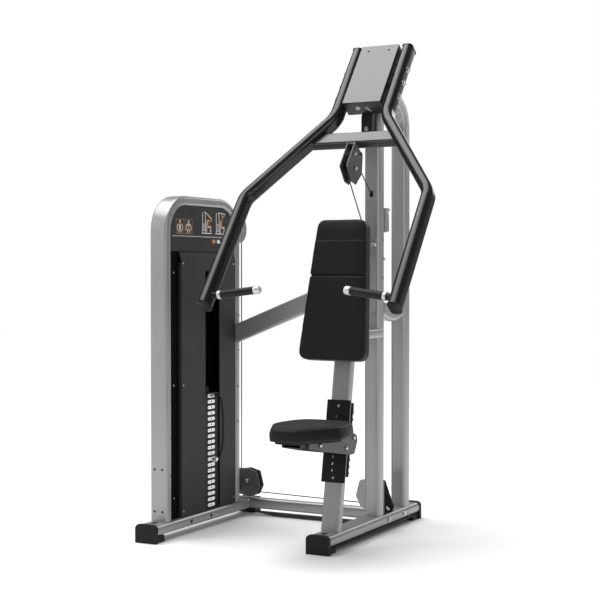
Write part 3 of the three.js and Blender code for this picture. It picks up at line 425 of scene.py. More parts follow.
def hide(name, colour):
    """Black upholstery vinyl: pebbled cells in uneven sizes, fine pores, a soft sheen."""
    p = Paint(name)
    warp = p.noise(160, 2)
    big = p.cells(520, "DISTANCE_TO_EDGE")
    small = p.cells(1150, "DISTANCE_TO_EDGE")
    pores = p.noise(2600, 2)
    cloud = p.noise(7, 4)
    low, high = shades(colour, 0.22)
    crease = p.remap(big, 0, 1, 0.0, 0.16)
    tone = p.sum_of(crease, 0.55, cloud, 0.5)
    p.colour(p.mix(tone, low, high))
    p.roughness(p.remap(p.sum_of(warp, 0.5, cloud, 0.5), 0.42, 0.56))
    height = p.math("ADD", crease, p.math("MULTIPLY", p.remap(small, 0, 1, 0.0, 0.2), 0.5))
    height = p.math("ADD", height, p.math("MULTIPLY", pores, 0.35))
    p.bump(height, 0.35, 0.0004)
    p.set(Sheen_Weight=0.09, Sheen_Roughness=0.35, Specular_IOR_Level=0.2)
    return p.material


def print_coat(name, colour, rough=0.5, **values):
    """Ink on a sheet: a dot screen with slightly uneven cover."""
    p = Paint(name)
    dots = p.cells(2600)
    cloud = p.noise(60, 3)
    low, high = shades(colour, 0.07)
    p.colour(p.mix(p.sum_of(dots, 0.4, cloud, 0.5), low, high))
    p.roughness(p.remap(cloud, rough - 0.05, rough + 0.05))
    p.bump(dots, 0.04, 0.0001)
    p.set(**values)
    return p.material


SILVER = coat("silver_powder_coat", (0.36, 0.363, 0.367), (0.28, 0.40), 1900, 3, 0.05, 0.10,
              Metallic=0.5, Coat_Weight=0.2, Coat_Roughness=0.3)
BLACK = coat("black_powder_coat", (0.006, 0.006, 0.0065), (0.20, 0.29), 1300, 4, 0.2, 0.05)
SHEEN_BLACK = coat("black_sheen_paint", (0.008, 0.008, 0.0085), (0.24, 0.34), 1300, 4, 0.2, 0.10, 0.85)
SATIN = coat("black_satin_paint", (0.006, 0.006, 0.0065), (0.36, 0.5), 1500, 4, 0.2, 0.14, 0.25)
CHARCOAL = coat("charcoal_paint", (0.036, 0.036, 0.037), (0.46, 0.58), 1500, 3, 0.08, 0.16, 0.25)
PLACARD = coat("placard_sheet", (0.034, 0.034, 0.035), (0.42, 0.52), 2100, 9, 0.1, 0.05, 0.25)
BRACKET = coat("bracket_grey", (0.062, 0.062, 0.064), (0.34, 0.46), 1500, 5, 0.1, 0.14,
               Metallic=0.2)
LIGHT_BRACKET = coat("bracket_light_grey", (0.115, 0.115, 0.118), (0.34, 0.46), 1500, 5, 0.1, 0.14,
                     Metallic=0.2)
NYLON = coat("black_nylon", (0.008, 0.008, 0.0083), (0.32, 0.46), 900, 12, 0.18, 0.1, 0.25)
LINER = coat("matt_black_liner", (0.003, 0.003, 0.003), (0.7, 0.85), 900, 12, 0.2, 0.1, 0.08)
PULLEY = coat("pulley_nylon", (0.014, 0.014, 0.0145), (0.3, 0.42), 900, 20, 0.2, 0.12, 0.4)
RUBBER = coat("moulded_rubber", (0.007, 0.007, 0.0072), (0.44, 0.58), 800, 14, 0.2, 0.22, 0.25)
GRIP = coat("grip_rubber", (0.007, 0.007, 0.0072), (0.4, 0.54), 1600, 30, 0.2, 0.25, 0.4)
IRON = coat("painted_iron", (0.010, 0.010, 0.0105), (0.42, 0.56), 420, 16, 0.2, 0.4, 0.3,
            depth=0.0004)
CORD = coat("coiled_cord", (0.003, 0.003, 0.0031), (0.3, 0.4), 1600, 60, 0.15, 0.08, 0.2)
JACKET = coat("cable_jacket", (0.014, 0.014, 0.0145), (0.3, 0.44), 1200, 40, 0.15, 0.1)
GLOSS_WHITE = coat("glossy_white_cap", (0.62, 0.63, 0.64), (0.1, 0.18), 700, 20, 0.04, 0.05,
                   Metallic=0.25, Coat_Weight=0.6, Coat_Roughness=0.08)
# Flat matt black for the discs that stand for holes: painted shade where the opening would be
PAINTED_HOLE_SHADE = coat("painted_hole_shade", (0.004, 0.004, 0.004), (0.7, 0.85), 900, 20, 0.25, 0.2)
CHROME = brushed("bright_steel", (0.72, 0.73, 0.74))
ZINC = brushed("zinc_bolt", (0.60, 0.61, 0.62), (0.2, 0.34), (8, 8, 8), 0.12)
VINYL = hide("black_vinyl", (0.0065, 0.0065, 0.0068))
THREAD = coat("black_thread", (0.006, 0.006, 0.006), (0.6, 0.75), 3000, 60, 0.3, 0.4)
WHITE_INK = print_coat("white_ink", (0.86, 0.86, 0.85))
SILVER_INK = print_coat("silver_ink", (0.42, 0.42, 0.43))
ORANGE_INK = print_coat("orange_ink", (0.72, 0.27, 0.03))
# The labels' ink glows faintly: painted light that keeps them bright in the shaded slot
GLOWING_LABEL_INK = print_coat("painted_glow_label_ink", (0.88, 0.88, 0.87),
                       Emission_Color=(1, 1, 1, 1), Emission_Strength=0.28)
DARK_INK = print_coat("dark_ink", (0.02, 0.02, 0.022))

MATERIAL_OF_SLOT = {
    "silver_frame": SILVER,
    "black_paint": BLACK,
    "grey_shroud": CHARCOAL,
    "placard_face": PLACARD,
    "grey_bracket": BRACKET,
    "rubber_foot": RUBBER,
    "grip_rubber": GRIP,
    "pad_vinyl": VINYL,
    "black_plastic": NYLON,
    "bright_steel": CHROME,
    "plate_iron": IRON,
    "cable_coat": JACKET,
    "cord_coat": JACKET,
}
OWN_MATERIAL = {
    "latch_rack": SATIN,
    "number_plate": SATIN,
    "pad_bracket": SATIN,
    "tower_low_bracket": LIGHT_BRACKET,
    "shroud_liner": LINER,
    "upright_foot_gusset": LINER,
    "counterweight_box": SHEEN_BLACK,
    "arm_crossbar": SHEEN_BLACK,
}
# Parts whose bevelled edges get a lighter metal (EDGE below): a painted highlight along each edge
BRIGHT_EDGES = ("arm_pulley_bracket", "tower_low_bracket", "top_pulley_bracket", "upright_foot_gusset")
BROKEN_EDGES = BRIGHT_EDGES + (
    "seat_carriage", "counterweight_box", "arm_rest_stop", "number_plate", "latch_rack", "pad_bracket",
    "seat_board", "selector_pin", "frame_low_bracket", "high_pulley_bracket",
)
EDGE = coat("painted_highlight_edge", (0.30, 0.30, 0.31), (0.25, 0.4), 1800, 60, 0.2, 0.1, Metallic=0.8)

WELD_DISTANCE = 2e-5
BROKEN_EDGE = 0.0008
SHARP_ANGLE = math.radians(50)
slot_of = {s["node"]: s["material_slot"] for s in frame["record"]["subparts"]}
for name, obj in nodes.items():
    material = OWN_MATERIAL.get(name) or MATERIAL_OF_SLOT[slot_of[name]]
    if name.endswith("_pulley"):
        material = PULLEY
    obj.data.materials.clear()
    obj.data.materials.append(material)
    if "custom_normal" in obj.data.attributes:
        obj.data.attributes.remove(obj.data.attributes["custom_normal"])
    obj.data.polygons.foreach_set("use_smooth", [True] * len(obj.data.polygons))
    weld = obj.modifiers.new("weld", "WELD")
    weld.merge_threshold = WELD_DISTANCE
    if name in BROKEN_EDGES:
        bevel = obj.modifiers.new("bevel", "BEVEL")
        bevel.width = BROKEN_EDGE
        bevel.segments = 1
        bevel.limit_method = "ANGLE"
        bevel.angle_limit = SHARP_ANGLE
        if name in BRIGHT_EDGES:
            obj.data.materials.append(EDGE)
            bevel.material = 1
    else:
        split = obj.modifiers.new("split", "EDGE_SPLIT")
        split.split_angle = SHARP_ANGLE
        split.use_edge_sharp = False
    weighted = obj.modifiers.new("weighted", "WEIGHTED_NORMAL")
    weighted.weight = 80
    weighted.keep_sharp = True

# ---- the selector pin's curly tether


def lengths(pts):
    out = [0.0]
    for a, b in zip(pts, pts[1:]):
        out.append(out[-1] + (b - a).length)
    return out


def at_length(pts, length, s):
    """The point at distance s along pts, whose distances are given."""
    i = min(int(np.searchsorted(length, s, side="right")) - 1, len(pts) - 2)
    return pts[i].lerp(pts[i + 1], min((s - length[i]) / max(length[i + 1] - length[i], 1e-9), 1))


def smooth_path(corners, step):
    """Points every step along a Catmull-Rom curve through the corners."""
    pts = [Vector(c) for c in corners]
    pts = [2 * pts[0] - pts[1], *pts, 2 * pts[-1] - pts[-2]]
    fine = []
    for a, b, c, d in zip(pts, pts[1:], pts[2:], pts[3:]):
        for i in range(60):
            t = i / 60
            fine.append(
                0.5 * (2 * b + (c - a) * t + (2 * a - 5 * b + 4 * c - d) * t * t
                       + (3 * b - a - 3 * c + d) * t ** 3)
            )
    fine.append(pts[-2])
    length = lengths(fine)
    count = max(int(length[-1] / step), 2)
    out = [at_length(fine, length, length[-1] * k / count) for k in range(count + 1)]
    return out, length[-1]


STACK_X = -733
STACK_Y = -169
PLATE_FACE = -700
PIN_Z = 296.9
TETHER_ROUTE = [
    (-697, -194, 577),
    (-673, -186, 583),
    (-670, -140, 559),
    (-669, -124, 480),
    (-669, -122, 390),
    (-669, -134, 330),
    (-673, -149, 299.9),
]
TETHER_WIRE = 3.0
TETHER_COIL = 5.0
TETHER_PITCH = 7.8
TETHER_STRAIGHT = 14


def curl():
    """The centreline of the cord: it winds round its route and runs out straight at both ends."""
    route, total = smooth_path(TETHER_ROUTE, 0.45)
    side = (route[1] - route[0]).orthogonal().normalized()
    out = []
    for i, p in enumerate(route):
        t = (route[min(i + 1, len(route) - 1)] - route[max(i - 1, 0)]).normalized()
        side = (side - t * side.dot(t)).normalized()
        s = total * i / (len(route) - 1)
        swell = min(s, total - s) / TETHER_STRAIGHT
        swell = min(swell, 1)
        swell = swell * swell * (3 - 2 * swell)
        a = 2 * math.pi * s / TETHER_PITCH
        out.append(p + TETHER_COIL * swell * (math.cos(a) * side + math.sin(a) * t.cross(side)))
    return out


tether_line = curl()
tether = dress(make("tether_coil", tube(tether_line, TETHER_WIRE / 2, 8)), CORD, 60)
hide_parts("pin_tether")
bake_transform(tether)

# ---- cables

CABLE = 2.5


def line(a, b, count):
    a, b = Vector(a), Vector(b)
    return [a.lerp(b, i / count) for i in range(count + 1)]


stack_box = [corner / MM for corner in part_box("stack_cable")]
stack_line = line((STACK_X, STACK_Y, stack_box[0].z), (STACK_X, STACK_Y, stack_box[1].z), 60)
stack_cable = piece("stack_cable_strand", tube(stack_line, CABLE, 12), JACKET,
                    replaces=("stack_cable",))
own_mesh(stack_cable)

ARM_PULLEY = Vector((0, -193.55, 1553.75))
PITCH = 50.0
GROMMET = Vector((0, 0, 1457))
ANCHOR = Vector((0, -30, 1240))
FEED_ANGLE = 50.1
RETURN_ANGLE = -144.3


def on_pulley(angle):
    a = math.radians(angle)
    return ARM_PULLEY + PITCH * Vector((0, math.cos(a), math.sin(a)))


wrap = [on_pulley(FEED_ANGLE + (360 + RETURN_ANGLE - FEED_ANGLE) * i / 48) for i in range(49)]
piece("arm_cable_wrap", tube(wrap, CABLE, 12), JACKET, "press_arm", replaces=("arm_cable",))
# Each strand runs straight from its fixed end to where it leaves the pulley.
STRANDS = (
    ("feed", GROMMET + Vector((0, -3, 0)), wrap[0], 0.75),
    ("return", ANCHOR + Vector((0, 0, 6)), wrap[-1], 0.6),
)
for strand, fixed, moving, share in STRANDS:
    obj = make(f"arm_cable_{strand}", tube(line(fixed, moving, 160), CABLE, 12))
    dress(obj, JACKET)
    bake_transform(obj)

# ---- upholstery


def resample(ring, count):
    """The same closed outline with evenly spaced points."""
    pts = [*ring, ring[0]]
    length = lengths(pts)
    return [at_length(pts, length, length[-1] * k / count) for k in range(count)]


def baked(obj, kind, **values):
    """Applies one modifier to obj's mesh."""
    m = obj.modifiers.new(kind, kind)
    for key, value in values.items():
        setattr(m, key, value)
    mesh = evaluated_mesh(obj)
    obj.modifiers.clear()
    obj.data = mesh


def coords(mesh):
    out = np.zeros(len(mesh.vertices) * 3)
    mesh.vertices.foreach_get("co", out)
    return out.reshape(-1, 3)


def set_coords(mesh, co):
    mesh.vertices.foreach_set("co", np.asarray(co, float).ravel())
    mesh.update()


def clamped(value):
    return max(0.0, min(1.0, value))


def evened(mesh, values, rounds, factor=0.5):
    """Values at a mesh's points, averaged with their neighbours' a number of times."""
    edges = np.zeros(len(mesh.edges) * 2, int)
    mesh.edges.foreach_get("vertices", edges)
    a, b = edges.reshape(-1, 2).T
    out = np.array(values, float).reshape(len(values), -1)
    degree = np.bincount(np.concatenate([a, b]), minlength=len(out))[:, None]
    for _ in range(rounds):
        total = np.zeros_like(out)
        np.add.at(total, a, out[b])
        np.add.at(total, b, out[a])
        out += factor * (total / degree - out)
    return out.reshape(np.shape(values))


def relax(mesh, rounds):
    """Evens out a mesh's surface without touching its topology."""
    set_coords(mesh, evened(mesh, coords(mesh), rounds))


CLOTH_FRAMES = 20
SWELL_ROUNDS = 40
COVER = {
    "quality": 5,
    "mass": 0.35,
    "tension_stiffness": 12,
    "compression_stiffness": 12,
    "shear_stiffness": 6,
    "bending_stiffness": 1.2,
}


def vertex_normals(mesh):
    out = np.zeros(len(mesh.vertices) * 3)
    mesh.vertices.foreach_get("normal", out)
    return out.reshape(-1, 3)


def puffed(name, shape, place, held, voxel, cap, pressure):
    """A foam pad under a stretched cover: remeshed, blown up by pressure, then let swell outward
    only, by cap mm at most. held(point in mm) is 0 where the cover is free and 1 where it is fixed
    to its board."""
    obj = make(name, shape, place)
    baked(obj, "REMESH", mode="VOXEL", voxel_size=voxel * MM)
    relax(obj.data, 2)
    start = coords(obj.data)
    inverse = place.inverted()
    hold = np.array([held(inverse @ Vector(p)) for p in start])
    group = obj.vertex_groups.new(name="held")
    for i, w in enumerate(hold):
        if w > 0:
            group.add([i], float(w), "REPLACE")
    cloth = obj.modifiers.new("cloth", "CLOTH")
    for key, value in COVER.items():
        setattr(cloth.settings, key, value)
    cloth.settings.use_pressure = True
    cloth.settings.uniform_pressure_force = pressure
    cloth.settings.vertex_group_mass = group.name
    cloth.settings.effector_weights.gravity = 0
    cloth.collision_settings.use_collision = False
    cloth.point_cache.frame_start = 1
    cloth.point_cache.frame_end = CLOTH_FRAMES
    for f in range(1, CLOTH_FRAMES + 1):
        scene.frame_set(f)
    mesh = evaluated_mesh(obj)
    end = coords(mesh)
    obj.modifiers.clear()
    bpy.data.meshes.remove(mesh)
    scene.frame_set(1)
    set_coords(obj.data, start)
    normals = vertex_normals(obj.data)
    swell = np.clip(np.sum((end - start) * normals, axis=1), 0, cap * MM) * (1 - hold)
    swell = evened(obj.data, swell, SWELL_ROUNDS)
    set_coords(obj.data, start + normals * swell[:, None])
    relax(obj.data, 1)
    baked(obj, "SUBSURF", levels=1, render_levels=1)
    return obj


def sculpt(obj, place, change):
    """Moves each point of obj by change(point in mm of that frame)."""
    inverse = place.inverted()
    co = coords(obj.data)
    out = [place @ change(inverse @ Vector(p)) for p in co]
    set_coords(obj.data, out)


def surface_line(obj, place, starts, aims, sink):
    """Points on obj's surface, found by looking from each start along its aim."""
    mesh = obj.data
    tree = BVHTree.FromPolygons([v.co for v in mesh.vertices], [p.vertices for p in mesh.polygons])
    turn = place.to_3x3()
    out = []
    for p, a in zip(starts, aims):
        hit, normal, _, _ = tree.ray_cast(place @ Vector(p), (turn @ Vector(a)).normalized())
        if hit is not None:
            out.append(place.inverted() @ (hit - normal.normalized() * sink * MM))
    return out


def stitches(path, pitch=4.2, length=2.9, radius=0.42):
    """A row of thread stitches along a line of points."""
    dist = lengths(path)
    rows = []
    for k in range(int(dist[-1] / pitch)):
        a, b = (at_length(path, dist, k * pitch + along) for along in (0, length))
        if (b - a).length > length * 0.5:
            rows.append(tube([a, a.lerp(b, 0.5), b], radius, 5))
    return joined(rows)


# Back pad, in the post's frame: half widths at its low and high ends, corner radius, depth
PAD_HALF_LOW, PAD_HALF_HIGH = 153.0, 112.0
PAD_CORNER = 34
PAD_LOW, PAD_HIGH = 691.0, 1274.0
PAD_BACK, PAD_FRONT = -59.6, -118.0
CREASE_Z, SEAM_Z = 1039.5, 1186.0
STITCH_OFFSET = 6.5
WELT_RADIUS = 1.9
SEAM_CORD_RADIUS = 1.1


def pad_half_width(z):
    return PAD_HALF_LOW - (PAD_HALF_LOW - PAD_HALF_HIGH) * (z - PAD_LOW) / (PAD_HIGH - PAD_LOW)


def pad_outline(inset, count=120):
    """The back pad's outline as (x, z), narrower at the top, with round corners."""
    low, high = PAD_HALF_LOW - inset, PAD_HALF_HIGH - inset
    bottom, top = PAD_LOW + inset, PAD_HIGH - inset
    corners = [Vector((low, bottom)), Vector((high, top)), Vector((-high, top)), Vector((-low, bottom))]
    radius = max(PAD_CORNER - inset, 6)
    ring = []
    for i, c in enumerate(corners):
        a = (corners[i - 1] - c).normalized()
        b = (corners[(i + 1) % 4] - c).normalized()
        half = a.angle(b) / 2
        centre = c + (a + b).normalized() * radius / math.sin(half)
        p0 = c + a * radius / math.tan(half) - centre
        p1 = c + b * radius / math.tan(half) - centre
        for k in range(9):
            d = p0.lerp(p1, k / 8)
            ring.append(centre + d.normalized() * radius)
    return resample(ring, count)


pad_rings = []
for y, inset in ((PAD_BACK, 5), (PAD_BACK - 4, 2.5), (PAD_BACK - 12, 2), (PAD_BACK - 40, 2),
                 (PAD_FRONT + 11, 2.5), (PAD_FRONT + 7, 5), (PAD_FRONT + 5, 11)):
    pad_rings.append([(p.x, y, p.y) for p in pad_outline(inset)])


def pad_hold(p):
    return clamped((p.y - (PAD_BACK - 10)) / 8)


back_pad = puffed("back_cushion", loft(pad_rings), POST, pad_hold, voxel=5.0, cap=7.0,
                  pressure=4.0)


def groove(distance, width, depth):
    return depth * math.exp(-((distance / width) ** 2))


def pad_seams(p):
    depth = (PAD_BACK - p.y) / (PAD_BACK - PAD_FRONT)
    free = clamped(depth * 2.2 - 0.3)
    sink = groove(p.z - CREASE_Z, 4.6, 8.0) + groove(p.z - SEAM_Z, 3.2, 3.6)
    side = abs(p.x) / pad_half_width(p.z)
    out = Vector(p)
    out.y += sink * free
    pull = groove(p.z - CREASE_Z, 4.5, 1.6) + groove(p.z - SEAM_Z, 3.0, 1.0)
    if p.z > SEAM_Z:
        pull += 1.6 * min((p.z - SEAM_Z) / 8, 1)
    if side > 0.8:
        out.x -= math.copysign(pull * min((side - 0.8) / 0.15, 1) * min(free + 0.25, 1), p.x)
    return out


sculpt(back_pad, POST, pad_seams)
dress(back_pad, VINYL, 80)
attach(back_pad, "frame")
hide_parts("back_pad")

# The welt round the pad's front edge, and the two sewn lines across its front
welt_ring = pad_outline(0, 220)
centre_of_pad = Vector((0, (PAD_LOW + PAD_HIGH) / 2))
starts, aims = [], []
for i, p in enumerate(welt_ring):
    a, b = welt_ring[i - 1], welt_ring[(i + 1) % len(welt_ring)]
    t = (b - a).normalized()
    n = Vector((t.y, -t.x))
    if n.dot(p - centre_of_pad) < 0:
        n = -n
    starts.append((p.x + n.x * 40, PAD_FRONT + 9, p.y + n.y * 40))
    aims.append((-n.x, 0, -n.y))
welt = surface_line(back_pad, POST, starts, aims, 0.3)
welt_shape = tube(welt, WELT_RADIUS, 8, closed=True)
piece("back_cushion_welt", welt_shape, VINYL, place=POST, angle=70)


def across_pad(z, margin, count, sink):
    """Points across the pad's front at one height, stopping margin short of its sides."""
    half = pad_half_width(z) - margin
    xs = np.linspace(-half, half, count)
    return surface_line(back_pad, POST, [(x, -200, z) for x in xs], [(0, 1, 0)] * len(xs), sink)


seam_rows = [
    stitches(across_pad(z, 14, 120, 0.1)) for z in (SEAM_Z + STITCH_OFFSET, SEAM_Z - STITCH_OFFSET)
]
piece("back_cushion_stitches", joined(seam_rows), THREAD, place=POST)
seam_cords = [tube(across_pad(z, 4, 140, -0.2), SEAM_CORD_RADIUS, 6) for z in (CREASE_Z, SEAM_Z)]
piece("back_cushion_seam_cords", joined(seam_cords), THREAD, place=POST)

# Seat pad, in the machine's frame: half outlines at its widest and at its top
SEAT_LOW = 477.3
SEAT_WIDE = [(0, -795), (50, -794), (63, -785), (72, -768), (150, -634), (160, -606), (158, -556),
             (146, -490), (130, -440), (98, -402), (50, -391), (0, -389)]
SEAT_TOP = [(0, -793), (46, -792), (58, -783), (66, -766), (134, -624), (143, -602), (146, -556),
            (136, -485), (120, -440), (92, -409), (47, -398), (0, -396)]


def mirrored(half):
    return [Vector(p) for p in half] + [Vector((-x, y)) for x, y in reversed(half[1:-1])]


def rounded_loop(half, per_side=6):
    """A closed loop through a mirrored half outline, with matching points on every loop. Its
    tangents are as long as the shorter neighbour, so that long sides stay straight."""
    pts = mirrored(half)
    n = len(pts)
    tangents = []
    for i, p in enumerate(pts):
        back, ahead = pts[i - 1], pts[(i + 1) % n]
        reach = min((p - back).length, (ahead - p).length)
        tangents.append((ahead - back).normalized() * reach)
    out = []
    for i, a in enumerate(pts):
        b = pts[(i + 1) % n]
        for k in range(per_side):
            t = k / per_side
            out.append((2 * t ** 3 - 3 * t * t + 1) * a + (t ** 3 - 2 * t * t + t) * tangents[i]
                       + (3 * t * t - 2 * t ** 3) * b + (t ** 3 - t * t) * tangents[(i + 1) % n])
    return out


wide_loop, top_loop = rounded_loop(SEAT_WIDE), rounded_loop(SEAT_TOP)
seat_centre = Vector((0, -585))


def seat_ring(z, share, scale):
    """The seat's outline at height z, share of the way from the wide loop to the top one."""
    ring = []
    for a, b in zip(wide_loop, top_loop):
        p = a.lerp(b, share)
        x = seat_centre.x + (p.x - seat_centre.x) * scale
        y = seat_centre.y + (p.y - seat_centre.y) * scale
        ring.append((x, y, z))
    return ring


# (height above the pad's underside, share of the way to the top loop, scale)
SEAT_RINGS = (
    (0, 0.0, 0.965), (3, 0.0, 0.985), (9, 0.0, 0.990), (20, 0.15, 0.990),
    (34, 0.45, 0.992), (45, 0.80, 0.990), (49, 0.95, 0.982), (50.5, 1.0, 0.965),
)
seat_rings = [seat_ring(SEAT_LOW + up, share, scale) for up, share, scale in SEAT_RINGS]


def seat_hold(p):
    return clamped((SEAT_LOW + 8 - p.z) / 6)


seat_pad = puffed("seat_cushion", loft(seat_rings), MACHINE, seat_hold, voxel=4.0, cap=3.0,
                  pressure=3.0)
dress(seat_pad, VINYL, 80)
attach(seat_pad, "seat")
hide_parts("seat_pad")

# The welt round the seat's top edge, found by looking in and down at 45 degrees from AWAY off
SEAT_WELT_HEIGHT = 44
AWAY = 60
starts, aims = [], []
for p in rounded_loop(SEAT_TOP, 9):
    outward = (p - seat_centre).normalized()
    starts.append((p.x + outward.x * AWAY, p.y + outward.y * AWAY, SEAT_LOW + SEAT_WELT_HEIGHT + AWAY))
    aims.append((-outward.x, -outward.y, -1))
seat_welt = surface_line(seat_pad, MACHINE, starts, aims, 0.3)
seat_welt_shape = tube(seat_welt, WELT_RADIUS, 8, closed=True)
piece("seat_cushion_welt", seat_welt_shape, VINYL, "seat", angle=70)

# ---- press arm: grips, caps

ARM_HALF_X, ARM_HALF_Y, ARM_CORNER = 24, 36, 16
ARM_ENDS = ((118, 201, 1), (413, -1160, -1))
# (height, inset) up the domed cap; the two at the top of the arms are half as high
ARM_CAP = ((-0.5, -0.8), (2.6, -0.8), (3.8, 0.2), (7, 1.8), (10, 5), (12, 10), (12.8, 17))
ends = []
for x, z, way in ARM_ENDS:
    rise = way if way < 0 else way * 0.5
    for side in SIDES:
        rings = []
        for height, inset in ARM_CAP:
            corner = max(ARM_CORNER - inset * 0.6, 5)
            ring = rounded(ARM_HALF_X - inset, ARM_HALF_Y - inset, corner, 7)
            rings.append([(side * x + px, py, z + height * rise) for px, py in ring])
        ends.append(loft(rings))
piece("arm_end_caps", joined(ends), NYLON, "press_arm", ARM)

HANDLE_X, HANDLE_Z, HANDLE_RISE = 388.0, -1114.0, 9.0
RIBS = 15
RIB_START = 34.3
RIB_PITCH = 144.4 / RIBS
# (share of the pitch, radius) over one rib and the groove after it
RIB_PROFILE = (
    (0.06, 14.6), (0.16, 16.0), (0.38, 16.4), (0.60, 16.0), (0.70, 14.6), (0.76, 13.4), (0.98, 13.4),
)
# (height along the handle, radius) of its other parts
STUB_PROFILE = [(-3, 14), (-3, 18.5), (1.5, 16.4), (4, 14.6), (7, 14), (20, 14)]
COLLAR_PROFILE = [(20, 14), (20, 16.9), (21, 17.5), (32.6, 17.5), (33.6, 16.9), (33.8, 14)]
CAP_PROFILE = [
    (179.2, 14), (179.2, 16.4), (180.2, 17), (199, 17), (203.5, 15.6), (206, 12), (207, 6), (207.2, 0),
]


def grip_profile():
    """A rubber sleeve with round-shouldered ribs and square grooves between them."""
    out = [(34, 12.6), (34, 15.0)]
    for k in range(RIBS):
        base = RIB_START + k * RIB_PITCH
        out += [(base + RIB_PITCH * share, radius) for share, radius in RIB_PROFILE]
    out += [(179, 15.0), (179, 12.6)]
    return out


for side, name in ((-1, "left"), (1, "right")):
    rise = math.radians(HANDLE_RISE)
    way = Vector((-side * math.cos(rise), 0, math.sin(rise)))
    at = ARM @ facing((side * HANDLE_X, 0, HANDLE_Z), way, (0, 1, 0))
    piece(f"handle_stub_{name}", turned(STUB_PROFILE, 36), SATIN, "press_arm", at,
          replaces=(f"handle_{name}",))
    for part, profile in (("collar", COLLAR_PROFILE), ("cap", CAP_PROFILE)):
        piece(f"handle_{part}_{name}", turned(profile, 40), GLOSS_WHITE, "press_arm", at)
    piece(f"ribbed_grip_{name}", turned(grip_profile(), 40), GRIP, "press_arm", at, 30,
          replaces=(f"grip_{name}",))

# ---- fasteners


def washer(r, thick=1.6):
    return [(-0.2, r), (thick - 0.4, r), (thick, r - 0.5), (thick, 0)]


def scaled(profile, r, h, lift=0.0, sunk=0.2, count=24):
    """A turned body from (share of height, share of radius) pairs, its foot sunk into its seat."""
    return turned([(lift - sunk, r)] + [(lift + h * up, r * out) for up, out in profile], count)


def hex_head(r, h, lift=0.0):
    return scaled([(0.78, 1), (1, 0.84), (1, 0)], r, h, lift, count=6)


def dome_head(r, h, lift=0.0):
    return scaled([(0.35, 1), (0.7, 0.86), (0.93, 0.55), (1, 0.28), (1, 0)], r, h, lift)


def socket_head(r, h, lift=0.0):
    """A round screw head with a round recess."""
    return scaled([(0.8, 1), (1, 0.88), (1, 0.5), (0.45, 0.5), (0.45, 0)], r, h, lift)


def plug(r, h=1.6):
    """A pressed-in hole plug with a dished middle."""
    return scaled([(0.5, 1), (1, 0.86), (0.9, 0.7), (0.35, 0.55), (0.3, 0)], r, h, sunk=0.3)


def hole(r):
    """A round opening, drawn as a thin dark disc: painted shade standing in for its depth."""
    return turned([(-0.1, r + 0.3), (0.25, r), (0.3, r * 0.9), (0.3, 0)], 24)


WASHER_SHARE = 1.28
HEAD_LIFT = 1.5
kits = {}


def fit(kind, shape, matrix, body="frame", place=MACHINE):
    """Adds a shape to the group of one finish on one body."""
    kits.setdefault((kind, body), []).append(moved(shape, place @ matrix))


def bolt(point, normal, body="frame", place=MACHINE, r=8.0, h=6.0, head=hex_head, ring="bright"):
    """A washer in the finish of ring, and a bright head on it."""
    m = facing(point, normal)
    fit(ring, turned(washer(r * WASHER_SHARE)), m, body, place)
    fit("bright", head(r, h, HEAD_LIFT), m, body, place)


PX, NY, PZ, NZ = (1, 0, 0), (0, -1, 0), (0, 0, 1), (0, 0, -1)
# Distances of the faces that carry fasteners from the machine's centre plane, and of the tower's
ARM_FACE = 142
ARM_BRACKET_FACE = 18
UPRIGHT_FACE = 35.5
RAIL_FACE = 49
CARRIAGE_FACE = 60
TOWER_FACE = -690.5

# press arm neck: three bolts through each arm into the pivot and box
for side in SIDES:
    for z in (76.6, 0, -76):
        bolt((side * ARM_FACE, 0, z), (side, 0, 0), "press_arm", ARM, 11, 9.5)
bolt((-27, -9, -136), NZ, "press_arm", ARM, 8, 6)
fit("bright", tile(3, 17, 1, 10, 0.6), facing((22, -4, -136), NZ, (0.8, 1, 0)), "press_arm", ARM)
for side in SIDES:
    fit("dark", plug(9), facing((side * ARM_FACE, 0, -240), (side, 0, 0)), "press_arm", ARM)

# arm pulley bracket: clamp bolts, axle and the empty hole at its tip, drawn as a disc of painted shade
for side in SIDES:
    x = side * ARM_BRACKET_FACE
    bolt((x, 16.5, -372.5), (side, 0, 0), "press_arm", ARM, 6, 4.5)
    fit("dark", socket_head(6, 4.5), facing((x, 58.8, -335.5), (side, 0, 0)), "press_arm", ARM)
    bolt((x, 57, -416), (side, 0, 0), "press_arm", ARM, 8, 6)
    fit("void", hole(5), facing((x, 97, -462), (side, 0, 0)), "press_arm", ARM)

# rest stop, cable anchor, high pulley bracket, upright fittings; the upright's holes are discs of
# painted shade
bolt((0, -52, 1731), NY, r=8, h=6, head=socket_head)
for side in SIDES:
    fit("bright", dome_head(7.5, 6), facing(ANCHOR + Vector((side * 30, 0, 0)), (side, 0, 0)))
high = machine_box("high_pulley_bracket")
for side, x in ((-1, high[0].x), (1, high[1].x)):
    bolt((x, 94, 1392), (side, 0, 0), r=6.5, h=5)
for side in SIDES:
    for z in (1262, 1099):
        fit("void", hole(5.2), facing((side * UPRIGHT_FACE, 45, z), (side, 0, 0)))
    bolt((side * UPRIGHT_FACE, 45, 1178), (side, 0, 0), r=6.5, h=5)

# seat frame rail: side bolts; both rails: an oval plug on top; tower rail: round side plugs
for y in (76.3, 239.8):
    for side in SIDES:
        bolt((side * RAIL_FACE, y, 51), (side, 0, 0), r=9, h=6)
for x, y in ((0, -443), (STACK_X, -568)):
    oval = tile(9, 17, 9, 1.8, 0.9)
    fit("dark", oval, facing((x, y, 74), PZ, (0, 1, 0)))
for y in (-358, -197):
    fit("dark", plug(8), facing((-684, y, 51), PX))

